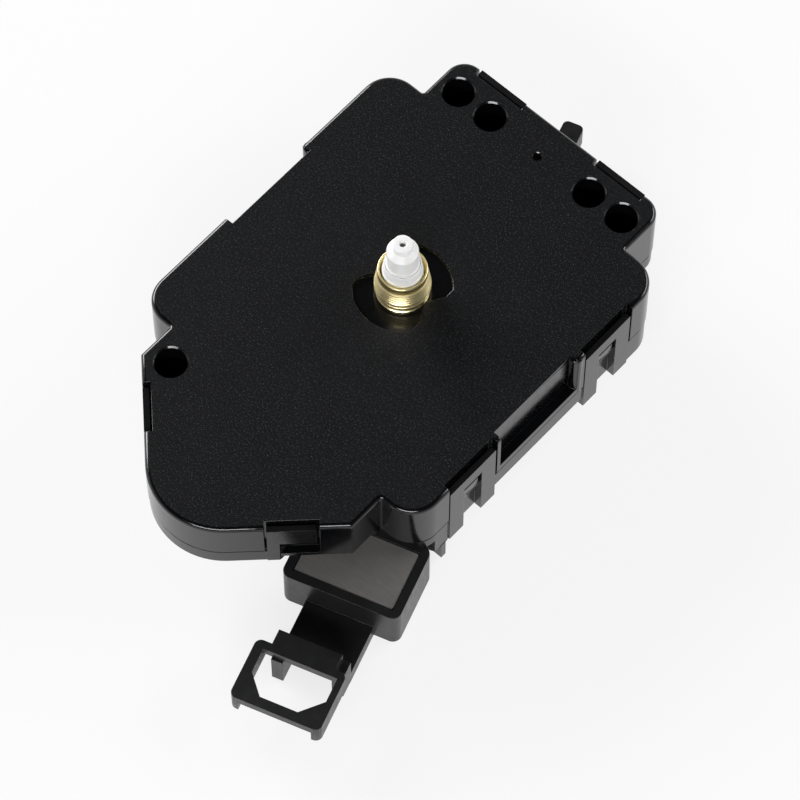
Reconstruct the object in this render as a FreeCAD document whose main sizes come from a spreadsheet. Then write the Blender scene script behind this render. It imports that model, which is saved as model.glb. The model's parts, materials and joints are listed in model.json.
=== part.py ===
import FreeCAD
import Part
import Sketcher
import math
import os
import re

# Pendulum clock movement. The origin is on the hand shaft's axis, in the plane of the dial face.
# +Z points out of the dial, +Y to the movement's top, +X to the right as seen from the dial.
# Depths are measured back from the face, so a depth of 3 is at z = -3.

SIZES = {
    # Outline of the case
    "head_shoulder": 6.8,
    "head_length": 8.4,
    "head_corner": 3.0,
    "body_half_width": 25.7,
    "body_top": 25.2,
    "body_bottom": 26.0,
    "body_corner": 4.5,
    "chin_shoulder": 6.1,
    "chin_length": 20.7,
    "chin_radius": 10.7,
    "chin_taper_angle": 44.5,
    "inner_corner": 0.35,
    # Front case
    "face_edge_round": 0.7,
    "face_thickness": 1.6,
    "case_wall": 1.5,
    "front_case_depth": 9.45,
    "chin_front_depth": 6.7,
    "chin_split": 27.5,
    "side_recess_depth": 1.4,
    "side_recess_top": 7.5,
    "side_recess_bottom": 8.4,
    "side_recess_back": 8.1,
    "side_recess_wall": 1.0,
    "side_post_radius": 0.95,
    "side_post_height": 8.0,
    "side_post_round": 0.35,
    "side_post_top": 0.3,
    "lobe_radius": 7.0,
    "lobe_depth": 0.5,
    "lobe_gap_outer": 4.6,
    "lobe_gap_high": 2.8,
    "lobe_gap_low": 2.4,
    "lobe_gap_start": 5.45,
    "lobe_gap_inner": 3.9,
    "lobe_gap_tip": 0.4,
    "lobe_gap_tip_low": 0.2,
    "head_hole_radius": 2.3,
    "hole_chamfer": 0.2,
    "head_hole_setback": 5.05,
    "head_hole_side": 3.7,
    "head_hole_spacing": 6.0,
    "hole_boss_wall": 0.9,
    "chin_hole_radius": 2.3,
    "chin_hole_side": 4.0,
    "chin_hole_fall": 4.0,
    "pillar_radius": 1.6,
    "pillar_left": 8.0,
    "pillar_right": 13.4,
    "pillar_top": 13.4,
    "pillar_bottom": 10.4,
    # Straps of the rear cover and the catches that they snap over
    "strap_thickness": 0.9,
    "strap_back_gap": 0.3,
    "strap_end_gap": 0.45,
    "strap_foot": 1.3,
    "strap_depth": 15.3,
    "recess_lip_depth": 13.0,
    "side_strap_length": 9.3,
    "side_strap_height": 13.7,
    "side_strap_drop": 14.2,
    "side_strap_top": 1.7,
    "blind_pocket_top": 1.0,
    "side_strap_proud": 0.1,
    "window_width": 3.6,
    "window_top": 4.2,
    "catch_gap": 0.35,
    "catch_shelf": 5.6,
    "catch_reach": 0.85,
    "catch_ramp": 2.2,
    "top_strap_length": 8.4,
    "top_strap_side": 7.9,
    "taper_strap_length": 6.75,
    "taper_strap_side": 5.85,
    "flush_strap_top": 0.15,
    "taper_strap_top": 0.9,
    "notch_depth": 4.8,
    # Rear cover
    "rim_inset": 0.12,
    "rim_wall": 1.2,
    "parting_groove": 0.4,
    "parting_height": 0.45,
    "floor_thickness": 1.4,
    "thin_floor": 1.2,
    "body_depth": 13.8,
    "head_depth": 12.6,
    "chin_depth": 9.7,
    "sweep_depth": 11.9,
    "notch_side": 7.0,
    "notch_top": 23.9,
    "stop_rib_thickness": 0.9,
    "stop_rib_width": 1.9,
    "stop_rib_depth": 19.4,
    "stop_rib_inset": 0.15,
    "stop_rib_back_inset": 1.3,
    "stop_rib_low": 19.8,
    "stop_rib_high": 15.6,
    # Battery bay for a cell 10.5 across and 44.5 long
    "cell_diameter": 10.5,
    "cell_length": 44.5,
    "cell_play": 0.3,
    "cell_side": 9.5,
    "cell_middle": 0.4,
    "bay_wall": 1.0,
    "bay_roof": 0.8,
    "bay_roof_depth": 8.5,
    "bay_back_depth": 19.9,
    "contact_thickness": 0.3,
    "contact_height": 8.0,
    "contact_side": 2.4,
    "contact_slot_gap": 0.2,
    "contact_strip_height": 2.5,
    "contact_strip_gap": 0.2,
    "contact_tab_width": 2.8,
    "contact_tab_reach": 1.6,
    "contact_dimple_radius": 1.8,
    "contact_dimple_height": 0.3,
    # Hand shafts
    "thread_radius": 4.0,
    "bush_seat_radius": 3.8,
    "bush_height": 5.2,
    "bush_neck_radius": 3.5,
    "bush_neck_start": 3.4,
    "bush_rim_radius": 3.2,
    "bush_rim_depth": 1.2,
    "bush_flange_radius": 5.4,
    "bush_flange": 0.3,
    "hour_tube_radius": 2.95,
    "hour_neck_radius": 2.86,
    "hour_tube_top": 6.8,
    "hour_seat_top": 6.5,
    "hour_tip_radius": 2.55,
    "hour_seat_radius": 2.7,
    "minute_tube_radius": 2.4,
    "minute_seat_radius": 2.22,
    "minute_seat_start": 7.0,
    "minute_tube_shoulder": 10.1,
    "minute_tip_radius": 1.44,
    "minute_tip": 12.0,
    "minute_tip_land": 1.1,
    "seconds_pin_radius": 0.4,
    "seconds_pin_top": 11.6,
    "running_gap": 0.05,
    "press_gap": 0.02,
    # Gear train: teeth, modules and levels
    "tooth_addendum_share": 0.78,
    "tooth_dedendum_share": 1.15,
    "tooth_tip_share": 0.095,
    "tooth_pitch_share": 0.195,
    "tooth_root_share": 0.26,
    "seconds_module": 0.3,
    "seconds_wheel_teeth": 40,
    "intermediate_pinion_teeth": 8,
    "intermediate_module": 0.2,
    "intermediate_wheel_teeth": 48,
    "rotor_pinion_teeth": 8,
    "third_module": 0.2,
    "third_wheel_teeth": 60,
    "seconds_pinion_teeth": 8,
    "centre_wheel_teeth": 64,
    "third_pinion_teeth": 8,
    "minute_module": 0.3125,
    "minute_pinion_teeth": 12,
    "reversing_wheel_teeth": 36,
    "reversing_pinion_teeth": 10,
    "hour_wheel_teeth": 40,
    "setting_gear_teeth": 30,
    "intermediate_angle": -40.0,
    "rotor_angle": -50.0,
    "third_angle": 90.0,
    "reversing_angle": 25.0,
    "setting_angle": 12.0,
    "wheel_gap": 0.4,
    "hour_wheel_thickness": 1.0,
    "reversing_wheel_thickness": 0.8,
    "centre_wheel_thickness": 0.9,
    "third_wheel_thickness": 0.8,
    "seconds_wheel_thickness": 0.8,
    "intermediate_wheel_thickness": 0.7,
    "gear_plate_thickness": 0.8,
    "gear_plate_corner": 2.0,
    "pivot_radius": 0.35,
    "pivot_boss_radius": 1.5,
    "pivot_boss_height": 1.2,
    "pivot_depth": 0.8,
    "reversing_stud_radius": 0.7,
    "clutch_seat_radius": 1.6,
    # Hand setting
    "setting_shaft_radius": 1.0,
    "setting_boss_radius": 2.0,
    "setting_boss_length": 1.5,
    "setting_boss_floor": 0.4,
    "knob_radius": 4.5,
    "knob_thickness": 2.6,
    "knob_gap": 0.25,
    "knob_flutes": 16,
    "knob_flute_radius": 0.5,
    # Stepping motor
    "rotor_magnet_radius": 2.4,
    "rotor_magnet_thickness": 1.5,
    "rotor_air_gap": 0.45,
    "stator_thickness": 1.0,
    "stator_ring": 1.0,
    "stator_arm": 2.6,
    "coil_side": 6.4,
    "coil_end_gap": 4.4,
    "coil_length": 11.7,
    "coil_flange": 0.6,
    "coil_half_width": 2.8,
    "coil_winding_radius": 2.55,
    "core_width": 2.4,
    "core_thickness": 1.2,
    "core_overlap": 2.4,
    "bobbin_wall": 0.4,
    "stator_post_radius": 1.0,
    # Circuit board
    "board_thickness": 0.8,
    "board_lift": 1.6,
    "board_side": 4.2,
    "board_setback": 2.3,
    "board_width": 8.5,
    "board_corner": 0.8,
    "board_post_radius": 1.0,
    "board_post_inset": 1.6,
    "chip_length": 5.0,
    "chip_width": 4.0,
    "chip_thickness": 1.2,
    "chip_right": 3.0,
    "crystal_radius": 1.0,
    "crystal_length": 6.0,
    "crystal_right": 10.0,
    "capacitor_radius": 1.6,
    "capacitor_length": 4.5,
    "capacitor_right": 14.8,
    # Pendulum coil in the chin
    "drive_coil_rise": 12.7,
    "drive_coil_front": 3.5,
    "drive_coil_back": 8.5,
    "drive_coil_flange_radius": 7.4,
    "drive_coil_flange": 0.6,
    "drive_coil_winding_radius": 6.9,
    "drive_coil_hub_radius": 2.4,
    "drive_coil_core_radius": 1.2,
    "drive_coil_post_radius": 3.0,
    # Pendulum lever, drawn hanging straight down from its pivot and then turned to the rest angle
    "pivot_setback": 5.5,
    "lever_rest_angle": 18.3,
    "pivot_pin_radius": 0.6,
    "pivot_pin_front": 1.4,
    "pivot_hole_chamfer": 0.12,
    "pivot_pin_back": 17.9,
    "pivot_sleeve_radius": 2.0,
    "pivot_cover_hole": 1.0,
    "clip_radius": 1.8,
    "clip_thickness": 0.5,
    "clip_front": 17.05,
    "hub_radius": 2.6,
    "hub_front": 13.2,
    "hub_back": 16.8,
    "tail_left": 1.5,
    "tail_right": 1.6,
    "tail_reach": 14.6,
    "tail_corner": 0.8,
    "arm_half_width": 2.2,
    "arm_front": 14.2,
    "arm_back": 16.6,
    "box_left": 8.75,
    "box_right": 8.8,
    "box_clearance": 2.2,
    "box_length": 11.9,
    "box_front": 12.3,
    "lever_back": 19.9,
    "box_corner": 1.3,
    "box_wall": 1.3,
    "box_floor": 1.0,
    "lid_depth": 0.2,
    "lid_thickness": 0.4,
    "lid_gap": 0.1,
    "magnet_gap": 0.1,
    "strip_left": 4.95,
    "strip_right": 5.2,
    "strip_front": 17.3,
    "rail_width": 1.7,
    "rail_overlap": 1.6,
    "rail_seat": 0.4,
    "rail_back": 19.7,
    "strip_length": 8.0,
    "frame_front": 12.4,
    "frame_thickness": 1.5,
    "frame_left": 7.65,
    "frame_right": 5.75,
    "frame_length": 9.3,
    "frame_step_left": 5.45,
    "frame_step_right": 4.03,
    "frame_step_gap": 7.5,
    "frame_step_length": 2.3,
    "frame_corner": 1.0,
    "frame_skirt_depth": 3.7,
    "frame_skirt_wall": 1.3,
    "mouth_left": 6.2,
    "mouth_right": 4.75,
    "mouth_margin": 1.2,
    "mouth_side_length": 3.7,
    "mouth_taper_length": 2.9,
    "mouth_far_left": 3.7,
    "mouth_far_right": 1.9,
    # One overrun lets every cut run past the faces that it opens
    "overrun": 1.0,
}

doc = FreeCAD.newDocument("pendulum_clock_movement")
sheet = doc.addObject("Spreadsheet::Sheet", "sizes")
for row, (alias, value) in enumerate(SIZES.items(), start=1):
    sheet.set(f"A{row}", alias)
    sheet.set(f"B{row}", str(value))
    sheet.setAlias(f"B{row}", alias)
doc.recompute()

UP = FreeCAD.Vector(0, 0, 1)
made = []

# Distances from the origin that follow from the case
HEAD_HALF = "(body_half_width - head_shoulder)"
HEAD_TOP = "(body_top + head_length)"
CHIN_HALF = "(body_half_width - chin_shoulder)"
CHIN_BOTTOM = "(body_bottom + chin_length)"
HEAD_HOLE_OUTER = "(body_half_width - head_shoulder - head_hole_side)"
HEAD_HOLE_INNER = "(body_half_width - head_shoulder - head_hole_side - head_hole_spacing)"
HEAD_HOLE_HEIGHT = "(body_top + head_length - head_hole_setback)"
CHIN_HOLE_LEFT = "(body_half_width - chin_shoulder - chin_hole_side)"
CHIN_HOLE_DROP = "(body_bottom + chin_hole_fall)"
TOP_STRAP_OFFSET = "(body_half_width - head_shoulder - top_strap_side)"
TAPER_STRAP_REACH = "(body_half_width - chin_shoulder - taper_strap_side)"
NOTCH_LEFT = "(body_half_width - chin_shoulder - notch_side)"
CELL_CENTRE = "(body_half_width - cell_side)"
COIL_RIGHT = "(body_half_width - coil_side)"
COIL_LOW = "(coil_end_gap - body_bottom)"
COIL_HIGH = "(coil_end_gap - body_bottom + coil_length)"
BOARD_RIGHT = "(body_half_width - board_side)"
BOARD_HIGH = "(body_top - board_setback)"
BOARD_LOW = "(body_top - board_setback - board_width)"
DRIVE_COIL_DROP = "(body_bottom + chin_length - drive_coil_rise)"

# Distances along the lever from its pivot
PIVOT_HEIGHT = "(body_top + head_length - pivot_setback)"
BOX_NEAR = "(body_top + head_length - pivot_setback + body_bottom + box_clearance)"
BOX_FAR = f"({BOX_NEAR} + box_length)"
STRIP_FAR = f"({BOX_FAR} + strip_length)"
STEP_NEAR = f"({BOX_FAR} + frame_step_gap)"
FRAME_NEAR = f"({STEP_NEAR} + frame_step_length)"
FRAME_FAR = f"({FRAME_NEAR} + frame_length)"
RAIL_FAR = f"({FRAME_NEAR} + rail_overlap)"
RAIL_NEAR = f"({FRAME_NEAR} + rail_seat)"
MOUTH_NEAR = f"({FRAME_NEAR} + mouth_margin)"
MOUTH_CORNER = f"({MOUTH_NEAR} + mouth_side_length)"
MOUTH_FAR = f"({MOUTH_CORNER} + mouth_taper_length)"


def size(alias):
    """A named size from the sheet, as a number."""
    return float(sheet.get(alias))


def rule(text):
    """A sum of named sizes as an expression on the sheet."""
    return re.sub(r"[a-z][a-z_]+", lambda word: "sizes." + word.group(0), text)


def bind(piece, **rules):
    for name, text in rules.items():
        piece.setExpression(name.replace("__", "."), rule(text))
    return piece


def total_of(text):
    """The value of a sum of named sizes, with brackets and plain factors."""
    tokens = re.findall(r"[a-z][a-z_]+|[0-9.]+|[-+*()]", text)

    def factor():
        token = tokens.pop(0)
        if token == "-":
            return -factor()
        if token == "(":
            value = total()
            tokens.pop(0)
            return value
        return size(token) if token[0].isalpha() else float(token)

    def product():
        value = factor()
        while tokens and tokens[0] == "*":
            tokens.pop(0)
            value *= factor()
        return value

    def total():
        value = product()
        while tokens and tokens[0] in "+-":
            sign = 1 if tokens.pop(0) == "+" else -1
            value += sign * product()
        return value

    return total()


def slab(name, left, right, low, high, back, front):
    """A box between six planes, each a sum of named sizes."""
    piece = doc.addObject("Part::Box", name)
    bind(piece, Length=f"({right}) - ({left})", Width=f"({high}) - ({low})", Height=f"({front}) - ({back})")
    return bind(piece, Placement__Base__x=left, Placement__Base__y=low, Placement__Base__z=back)


def rod(name, radius, back, front, x="0", y="0"):
    """A cylinder along the depth between two planes."""
    piece = doc.addObject("Part::Cylinder", name)
    bind(piece, Radius=radius, Height=f"({front}) - ({back})")
    return bind(piece, Placement__Base__x=x, Placement__Base__y=y, Placement__Base__z=back)


def rod_at(name, radius, back, front, centre):
    """A cylinder along the depth at a worked-out centre."""
    piece = rod(name, radius, back, front)
    piece.setExpression("Placement.Base.x", None)
    piece.setExpression("Placement.Base.y", None)
    piece.Placement.Base = FreeCAD.Vector(centre.x, centre.y, piece.Placement.Base.z)
    return piece


def cone(name, back_radius, front_radius, back, front):
    piece = doc.addObject("Part::Cone", name)
    bind(piece, Radius1=back_radius, Radius2=front_radius, Height=f"({front}) - ({back})")
    return bind(piece, Placement__Base__z=back)


def join(name, pieces):
    whole = doc.addObject("Part::MultiFuse", name)
    whole.Shapes = pieces
    return whole


def cut(name, base, tools):
    whole = doc.addObject("Part::Cut", name)
    whole.Base = base
    whole.Tool = tools[0] if len(tools) == 1 else join(name + "_tools", tools)
    return whole


def shaped(name, shape):
    piece = doc.addObject("Part::Feature", name)
    piece.Shape = shape
    return piece


def node(piece, label, place=None):
    """Names a finished sub-part and puts it where it belongs."""
    piece.Label = label
    if place is not None:
        piece.Placement = place
    made.append(piece)
    return piece


# Sketched bodies

def plane_of(body, role):
    return next(item for item in body.Origin.OriginFeatures if item.Role == role)


def sketch_on(body, name, level):
    sketch = body.newObject("Sketcher::SketchObject", name)
    sketch.AttachmentSupport = [(plane_of(body, "XY_Plane"), "")]
    sketch.MapMode = "FlatFace"
    sketch.setExpression("AttachmentOffset.Base.z", rule(level))
    return sketch


def sketch_rectangle(sketch, left, right, low, high):
    """Four lines held by their four distances from the origin."""
    x_from, x_to, y_from, y_to = (total_of(text) for text in (left, right, low, high))
    corners = [(x_from, y_from), (x_to, y_from), (x_to, y_to), (x_from, y_to)]
    for first, second in zip(corners, corners[1:] + corners[:1]):
        line = Part.LineSegment(FreeCAD.Vector(*first, 0), FreeCAD.Vector(*second, 0))
        sketch.addGeometry(line, False)
    for index in range(len(corners)):
        sketch.addConstraint(Sketcher.Constraint("Coincident", index, 2, (index + 1) % len(corners), 1))
    for kind, index in (("Horizontal", 0), ("Vertical", 1), ("Horizontal", 2), ("Vertical", 3)):
        sketch.addConstraint(Sketcher.Constraint(kind, index))
    for kind, text, start in (("DistanceX", left, 0), ("DistanceY", low, 0), ("DistanceX", right, 2),
                              ("DistanceY", high, 2)):
        held = sketch.addConstraint(Sketcher.Constraint(kind, -1, 1, start, 1, total_of(text)))
        sketch.setExpression(f"Constraints[{held}]", rule(text))


def sketch_circle(sketch, centre, radius):
    circle = Part.Circle(FreeCAD.Vector(centre.x, centre.y, 0), UP, total_of(radius))
    index = sketch.addGeometry(circle, False)
    held = sketch.addConstraint(Sketcher.Constraint("Radius", index, total_of(radius)))
    sketch.setExpression(f"Constraints[{held}]", rule(radius))
    sketch.addConstraint(Sketcher.Constraint("DistanceX", -1, 1, index, 3, centre.x))
    sketch.addConstraint(Sketcher.Constraint("DistanceY", -1, 1, index, 3, centre.y))


def rounded_plate(name, left, right, low, high, back, front, corner, holes=()):
    """A sketched plate with round upright edges, drilled at the given (centre, radius) pairs."""
    body = doc.addObject("PartDesign::Body", name)
    sketch = sketch_on(body, name + "_outline", back)
    sketch_rectangle(sketch, left, right, low, high)
    pad = body.newObject("PartDesign::Pad", name + "_pad")
    pad.Profile = sketch
    pad.setExpression("Length", rule(f"({front}) - ({back})"))
    doc.recompute()
    upright = [f"Edge{count}" for count, edge in enumerate(pad.Shape.Edges, start=1)
               if abs(edge.tangentAt(edge.FirstParameter).z) > abs(edge.tangentAt(edge.FirstParameter).x)
               and abs(edge.tangentAt(edge.FirstParameter).z) > abs(edge.tangentAt(edge.FirstParameter).y)]
    fillet = body.newObject("PartDesign::Fillet", name + "_corners")
    fillet.Base = (pad, upright)
    fillet.setExpression("Radius", rule(corner))
    if holes:
        drill = sketch_on(body, name + "_holes", back)
        for centre, radius in holes:
            sketch_circle(drill, centre, radius)
        pocket = body.newObject("PartDesign::Pocket", name + "_drilled")
        pocket.Profile = drill
        pocket.Type = "ThroughAll"
        pocket.Midplane = True
    doc.recompute()
    return body


# Case outline

def rounded_wire(corners):
    """A closed wire through (x, y, radius) corners, each corner a tangent arc."""
    edges = []
    ends = []
    count = len(corners)
    for index, (x, y, radius) in enumerate(corners):
        here = FreeCAD.Vector(x, y, 0)
        before = FreeCAD.Vector(*corners[index - 1][:2], 0) - here
        after = FreeCAD.Vector(*corners[(index + 1) % count][:2], 0) - here
        before.normalize()
        after.normalize()
        half = before.getAngle(after) / 2
        run = radius / math.tan(half)
        bisector = before + after
        bisector.normalize()
        centre = here + bisector * (radius / math.sin(half))
        ends.append((here + before * run, centre - bisector * radius, here + after * run))
    for index, (start, middle, finish) in enumerate(ends):
        edges.append(Part.Arc(start, middle, finish).toShape())
        following = ends[(index + 1) % count][0]
        edges.append(Part.LineSegment(finish, following).toShape())
    return Part.Wire(edges)


def case_face():
    """The movement's outline: head, body and chin, the same left and right."""
    slope = math.radians(size("chin_taper_angle"))
    apex = total_of(CHIN_BOTTOM) + size("chin_radius") * (1 / math.cos(slope) - 1)
    shoulder = apex - total_of(CHIN_HALF) * math.tan(slope)
    right = [
        (total_of(HEAD_HALF), total_of(HEAD_TOP), size("head_corner")),
        (total_of(HEAD_HALF), size("body_top"), size("inner_corner")),
        (size("body_half_width"), size("body_top"), size("body_corner")),
        (size("body_half_width"), -size("body_bottom"), size("body_corner")),
        (total_of(CHIN_HALF), -size("body_bottom"), size("inner_corner")),
        (total_of(CHIN_HALF), -shoulder, size("inner_corner")),
    ]
    left = [(-x, y, radius) for x, y, radius in reversed(right)]
    return Part.Face(rounded_wire(right + [(0, -apex, size("chin_radius"))] + left))


def case_prism(inset, back, front):
    """The outline drawn in by an inset and filled between two depths."""
    face = case_face()
    if inset:
        face = face.makeOffset2D(-inset)
    face.translate(FreeCAD.Vector(0, 0, -back))
    return face.extrude(FreeCAD.Vector(0, 0, back - front))


# Gear centres and levels

def away(start, distance, angle):
    turn = math.radians(angle)
    return start + FreeCAD.Vector(distance * math.cos(turn), distance * math.sin(turn), 0)


def mesh_distance(module, first, second):
    return size(module) * (size(first) + size(second)) / 2


CENTRE = FreeCAD.Vector(0, 0, 0)
INTERMEDIATE = away(CENTRE, mesh_distance("seconds_module", "seconds_wheel_teeth", "intermediate_pinion_teeth"),
                    size("intermediate_angle"))
ROTOR = away(INTERMEDIATE, mesh_distance("intermediate_module", "intermediate_wheel_teeth", "rotor_pinion_teeth"),
             size("rotor_angle"))
THIRD_DISTANCE = mesh_distance("third_module", "third_wheel_teeth", "seconds_pinion_teeth")
THIRD = away(CENTRE, THIRD_DISTANCE, size("third_angle"))
CENTRE_MODULE = 2 * THIRD_DISTANCE / (size("centre_wheel_teeth") + size("third_pinion_teeth"))
REVERSING_DISTANCE = mesh_distance("minute_module", "minute_pinion_teeth", "reversing_wheel_teeth")
REVERSING = away(CENTRE, REVERSING_DISTANCE, size("reversing_angle"))
HOUR_MODULE = 2 * REVERSING_DISTANCE / (size("hour_wheel_teeth") + size("reversing_pinion_teeth"))
SETTING = away(REVERSING, mesh_distance("minute_module", "reversing_wheel_teeth", "setting_gear_teeth"),
               size("setting_angle"))

HOUR_FRONT = "face_thickness + bush_flange + bush_flange"
HOUR_BACK = HOUR_FRONT + " + hour_wheel_thickness"
REVERSING_FRONT = HOUR_BACK + " + wheel_gap"
REVERSING_BACK = REVERSING_FRONT + " + reversing_wheel_thickness"
CENTRE_FRONT = REVERSING_BACK + " + wheel_gap"
CENTRE_BACK = CENTRE_FRONT + " + centre_wheel_thickness"
PLATE_FRONT = CENTRE_BACK + " + wheel_gap"
PLATE_BACK = PLATE_FRONT + " + gear_plate_thickness"
THIRD_FRONT = PLATE_BACK + " + bush_flange"
THIRD_BACK = THIRD_FRONT + " + third_wheel_thickness"
SECONDS_FRONT = THIRD_BACK + " + wheel_gap"
SECONDS_BACK = SECONDS_FRONT + " + seconds_wheel_thickness"
INTERMEDIATE_FRONT = SECONDS_BACK + " + wheel_gap"
INTERMEDIATE_BACK = INTERMEDIATE_FRONT + " + intermediate_wheel_thickness"
FLOOR = "body_depth - floor_thickness"
BOSS_FRONT = FLOOR + " - pivot_boss_height"
PIVOT_BACK = BOSS_FRONT + " + pivot_depth"


def behind(text):
    """The z plane at a depth behind the face."""
    return f"-({text})"


def gear_prism(teeth, module, phase, back, front):
    """A toothed disc with one tooth centred at the phase angle, between two depths."""
    count = round(teeth)
    pitch = 360.0 / count
    rim = module * count / 2
    tip = rim + module * size("tooth_addendum_share")
    root = rim - module * size("tooth_dedendum_share")
    flank = (
        (root, -size("tooth_root_share")),
        (rim, -size("tooth_pitch_share")),
        (tip, -size("tooth_tip_share")),
        (tip, size("tooth_tip_share")),
        (rim, size("tooth_pitch_share")),
        (root, size("tooth_root_share")),
    )
    points = []
    for index in range(count):
        for radius, share in flank:
            points.append(away(CENTRE, radius, phase + (index + share) * pitch))
    face = Part.Face(Part.makePolygon(points + points[:1]))
    face.translate(FreeCAD.Vector(0, 0, -total_of(back)))
    return face.extrude(FreeCAD.Vector(0, 0, total_of(back) - total_of(front)))


def gap_phase(angle, teeth):
    """The phase that puts a gap of the follower opposite a driver's tooth."""
    return angle + 180.0 + 180.0 / size(teeth)


def gear(name, teeth, module, phase, back, front):
    return shaped(name, gear_prism(size(teeth), module, phase, back, front))


# Front case

def wall_frames():
    """The straps' places: label, centre on the wall, turn about Z, length, top depth and window."""
    slope = size("chin_taper_angle")
    apex = total_of(CHIN_BOTTOM) + size("chin_radius") * (1 / math.cos(math.radians(slope)) - 1)
    taper_drop = apex - total_of(TAPER_STRAP_REACH) * math.tan(math.radians(slope))
    side = size("body_half_width") + size("side_strap_proud")
    frames = []
    for mirror, hand in ((1, "right"), (-1, "left")):
        frames.append((hand + "_upper", (mirror * side, size("side_strap_height")), -90.0 * mirror,
                       "side_strap_length", "side_strap_top", True))
        frames.append((hand + "_lower", (mirror * side, -size("side_strap_drop")), -90.0 * mirror,
                       "side_strap_length", "side_strap_top", True))
        frames.append((hand + "_top", (mirror * total_of(TOP_STRAP_OFFSET), total_of(HEAD_TOP)), 0.0,
                       "top_strap_length", "flush_strap_top", True))
        frames.append((hand + "_taper", (mirror * total_of(TAPER_STRAP_REACH), -taper_drop),
                       -(180.0 - slope) * mirror, "taper_strap_length", "taper_strap_top", False))
    return frames


def turned(piece, centre, turn):
    """Carries a piece drawn on the origin, with +Y out of the wall, to its place on the wall."""
    place = FreeCAD.Placement(FreeCAD.Vector(*centre, 0), FreeCAD.Rotation(UP, turn))
    moved = doc.addObject("Part::Compound", piece.Name + "_placed")
    moved.Links = [piece]
    moved.Placement = place
    return moved


def case_back(label):
    """The front case is shallower round the chin than round the body."""
    return "chin_front_depth" if "taper" in label else "front_case_depth"


def strap_pocket(label, length):
    """Open at the face, but for the straps of the left side, whose pockets stay under the face's edge."""
    half = f"{length} * 0.5"
    front = "-blind_pocket_top" if label in ("left_upper", "left_lower") else "overrun"
    gap = "strap_back_gap" if "taper" in label else "running_gap"
    return slab("pocket_" + label, f"-{half} - strap_end_gap", f"{half} + {gap}",
                "-strap_thickness - strap_back_gap", "overrun", behind(case_back(label) + " + overrun"), front)


def strap_catch(label):
    """A shelf inside the strap's window that slopes back to the wall."""
    half = (size("window_width") / 2) - size("catch_gap")
    base = -size("strap_thickness") - size("strap_back_gap")
    reach = base + size("catch_reach")
    shelf = -size("catch_shelf")
    end = -size("front_case_depth")
    profile = [(base, shelf), (reach, shelf), (reach, shelf - size("catch_ramp")), (base, end)]
    points = [FreeCAD.Vector(-half, y, z) for y, z in profile]
    face = Part.Face(Part.makePolygon(points + points[:1]))
    return shaped("catch_" + label, face.extrude(FreeCAD.Vector(2 * half, 0, 0)))


def side_recess(mirror, hand):
    """The shallow step in the long side of the body, over a ledge at its back."""
    inner = "body_half_width - side_recess_depth"
    outer = "body_half_width + overrun"
    if mirror > 0:
        left, right = inner, outer
    else:
        left, right = behind(outer), behind(inner)
    return slab("side_recess_" + hand, left, right, "-side_recess_bottom", "side_recess_top",
                "-side_recess_back", "overrun")


def recess_backing(mirror, hand):
    inner = "body_half_width - side_recess_depth - side_recess_wall"
    outer = "body_half_width - case_wall"
    if mirror > 0:
        left, right = inner, outer
    else:
        left, right = behind(outer), behind(inner)
    return slab("side_backing_" + hand, left, right, "-side_recess_bottom - case_wall",
                "side_recess_top + case_wall", "-side_recess_back", "-face_thickness")


def strap_backing(label, length):
    """Wall kept behind a pocket where the case wall alone would be too thin."""
    half = f"{length} * 0.5"
    return slab("backing_" + label, f"-{half} - case_wall", f"{half} + case_wall",
                "-strap_thickness - strap_back_gap - side_recess_wall", "-case_wall * 0.5",
                behind(case_back(label)), "-face_thickness")


def side_post(mirror, hand):
    """The rounded upright at the upper end of a side recess."""
    x = mirror * (size("body_half_width") + size("side_strap_proud") - size("side_post_radius"))
    centre = FreeCAD.Vector(x, size("side_post_height"), -size("front_case_depth"))
    top = size("side_post_top")
    post = Part.makeCylinder(size("side_post_radius"), size("front_case_depth") - top, centre)
    rims = [edge for edge in post.Edges if abs(edge.BoundBox.ZMin + top) < size("press_gap") and edge.Closed]
    return shaped("side_post_" + hand, post.makeFillet(size("side_post_round"), rims))


def bush_lobes():
    """The shallow disc round the bush, less a bridge at each side that is level with the face."""
    disc = rod("lobe_disc", "lobe_radius", "-lobe_depth", "overrun")
    inner = size("lobe_gap_inner")
    start = size("lobe_gap_start")
    outer = size("lobe_gap_outer")
    reach = size("lobe_radius") + size("overrun")
    outline = [(inner, size("lobe_gap_tip")), (start, size("lobe_gap_high")), (start, outer), (reach, outer),
               (reach, -outer), (start, -outer), (start, -size("lobe_gap_low")), (inner, -size("lobe_gap_tip_low"))]
    bridges = []
    for mirror, hand in ((1, "right"), (-1, "left")):
        points = [FreeCAD.Vector(mirror * x, mirror * y, -size("lobe_depth")) for x, y in outline]
        face = Part.Face(Part.makePolygon(points + points[:1]))
        bridges.append(shaped("lobe_bridge_" + hand, face.extrude(FreeCAD.Vector(0, 0, reach))))
    mouth = rod("bush_mouth", "thread_radius + running_gap", "-lobe_depth", "overrun")
    return join("lobes_with_mouth", [cut("lobes", disc, bridges), mouth])


def head_holes():
    return [FreeCAD.Vector(side * total_of(reach), total_of(HEAD_HOLE_HEIGHT), 0)
            for side in (-1, 1) for reach in (HEAD_HOLE_INNER, HEAD_HOLE_OUTER)]


def hole_rim(name, radius, width, centre):
    """The bevel round the mouth of a hole in the face."""
    bevel = cone(name, radius, f"{radius} + {width} + {width}", behind(width), width)
    bevel.Placement = FreeCAD.Placement(FreeCAD.Vector(centre.x, centre.y, -size(width)), FreeCAD.Rotation())
    return bevel


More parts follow.
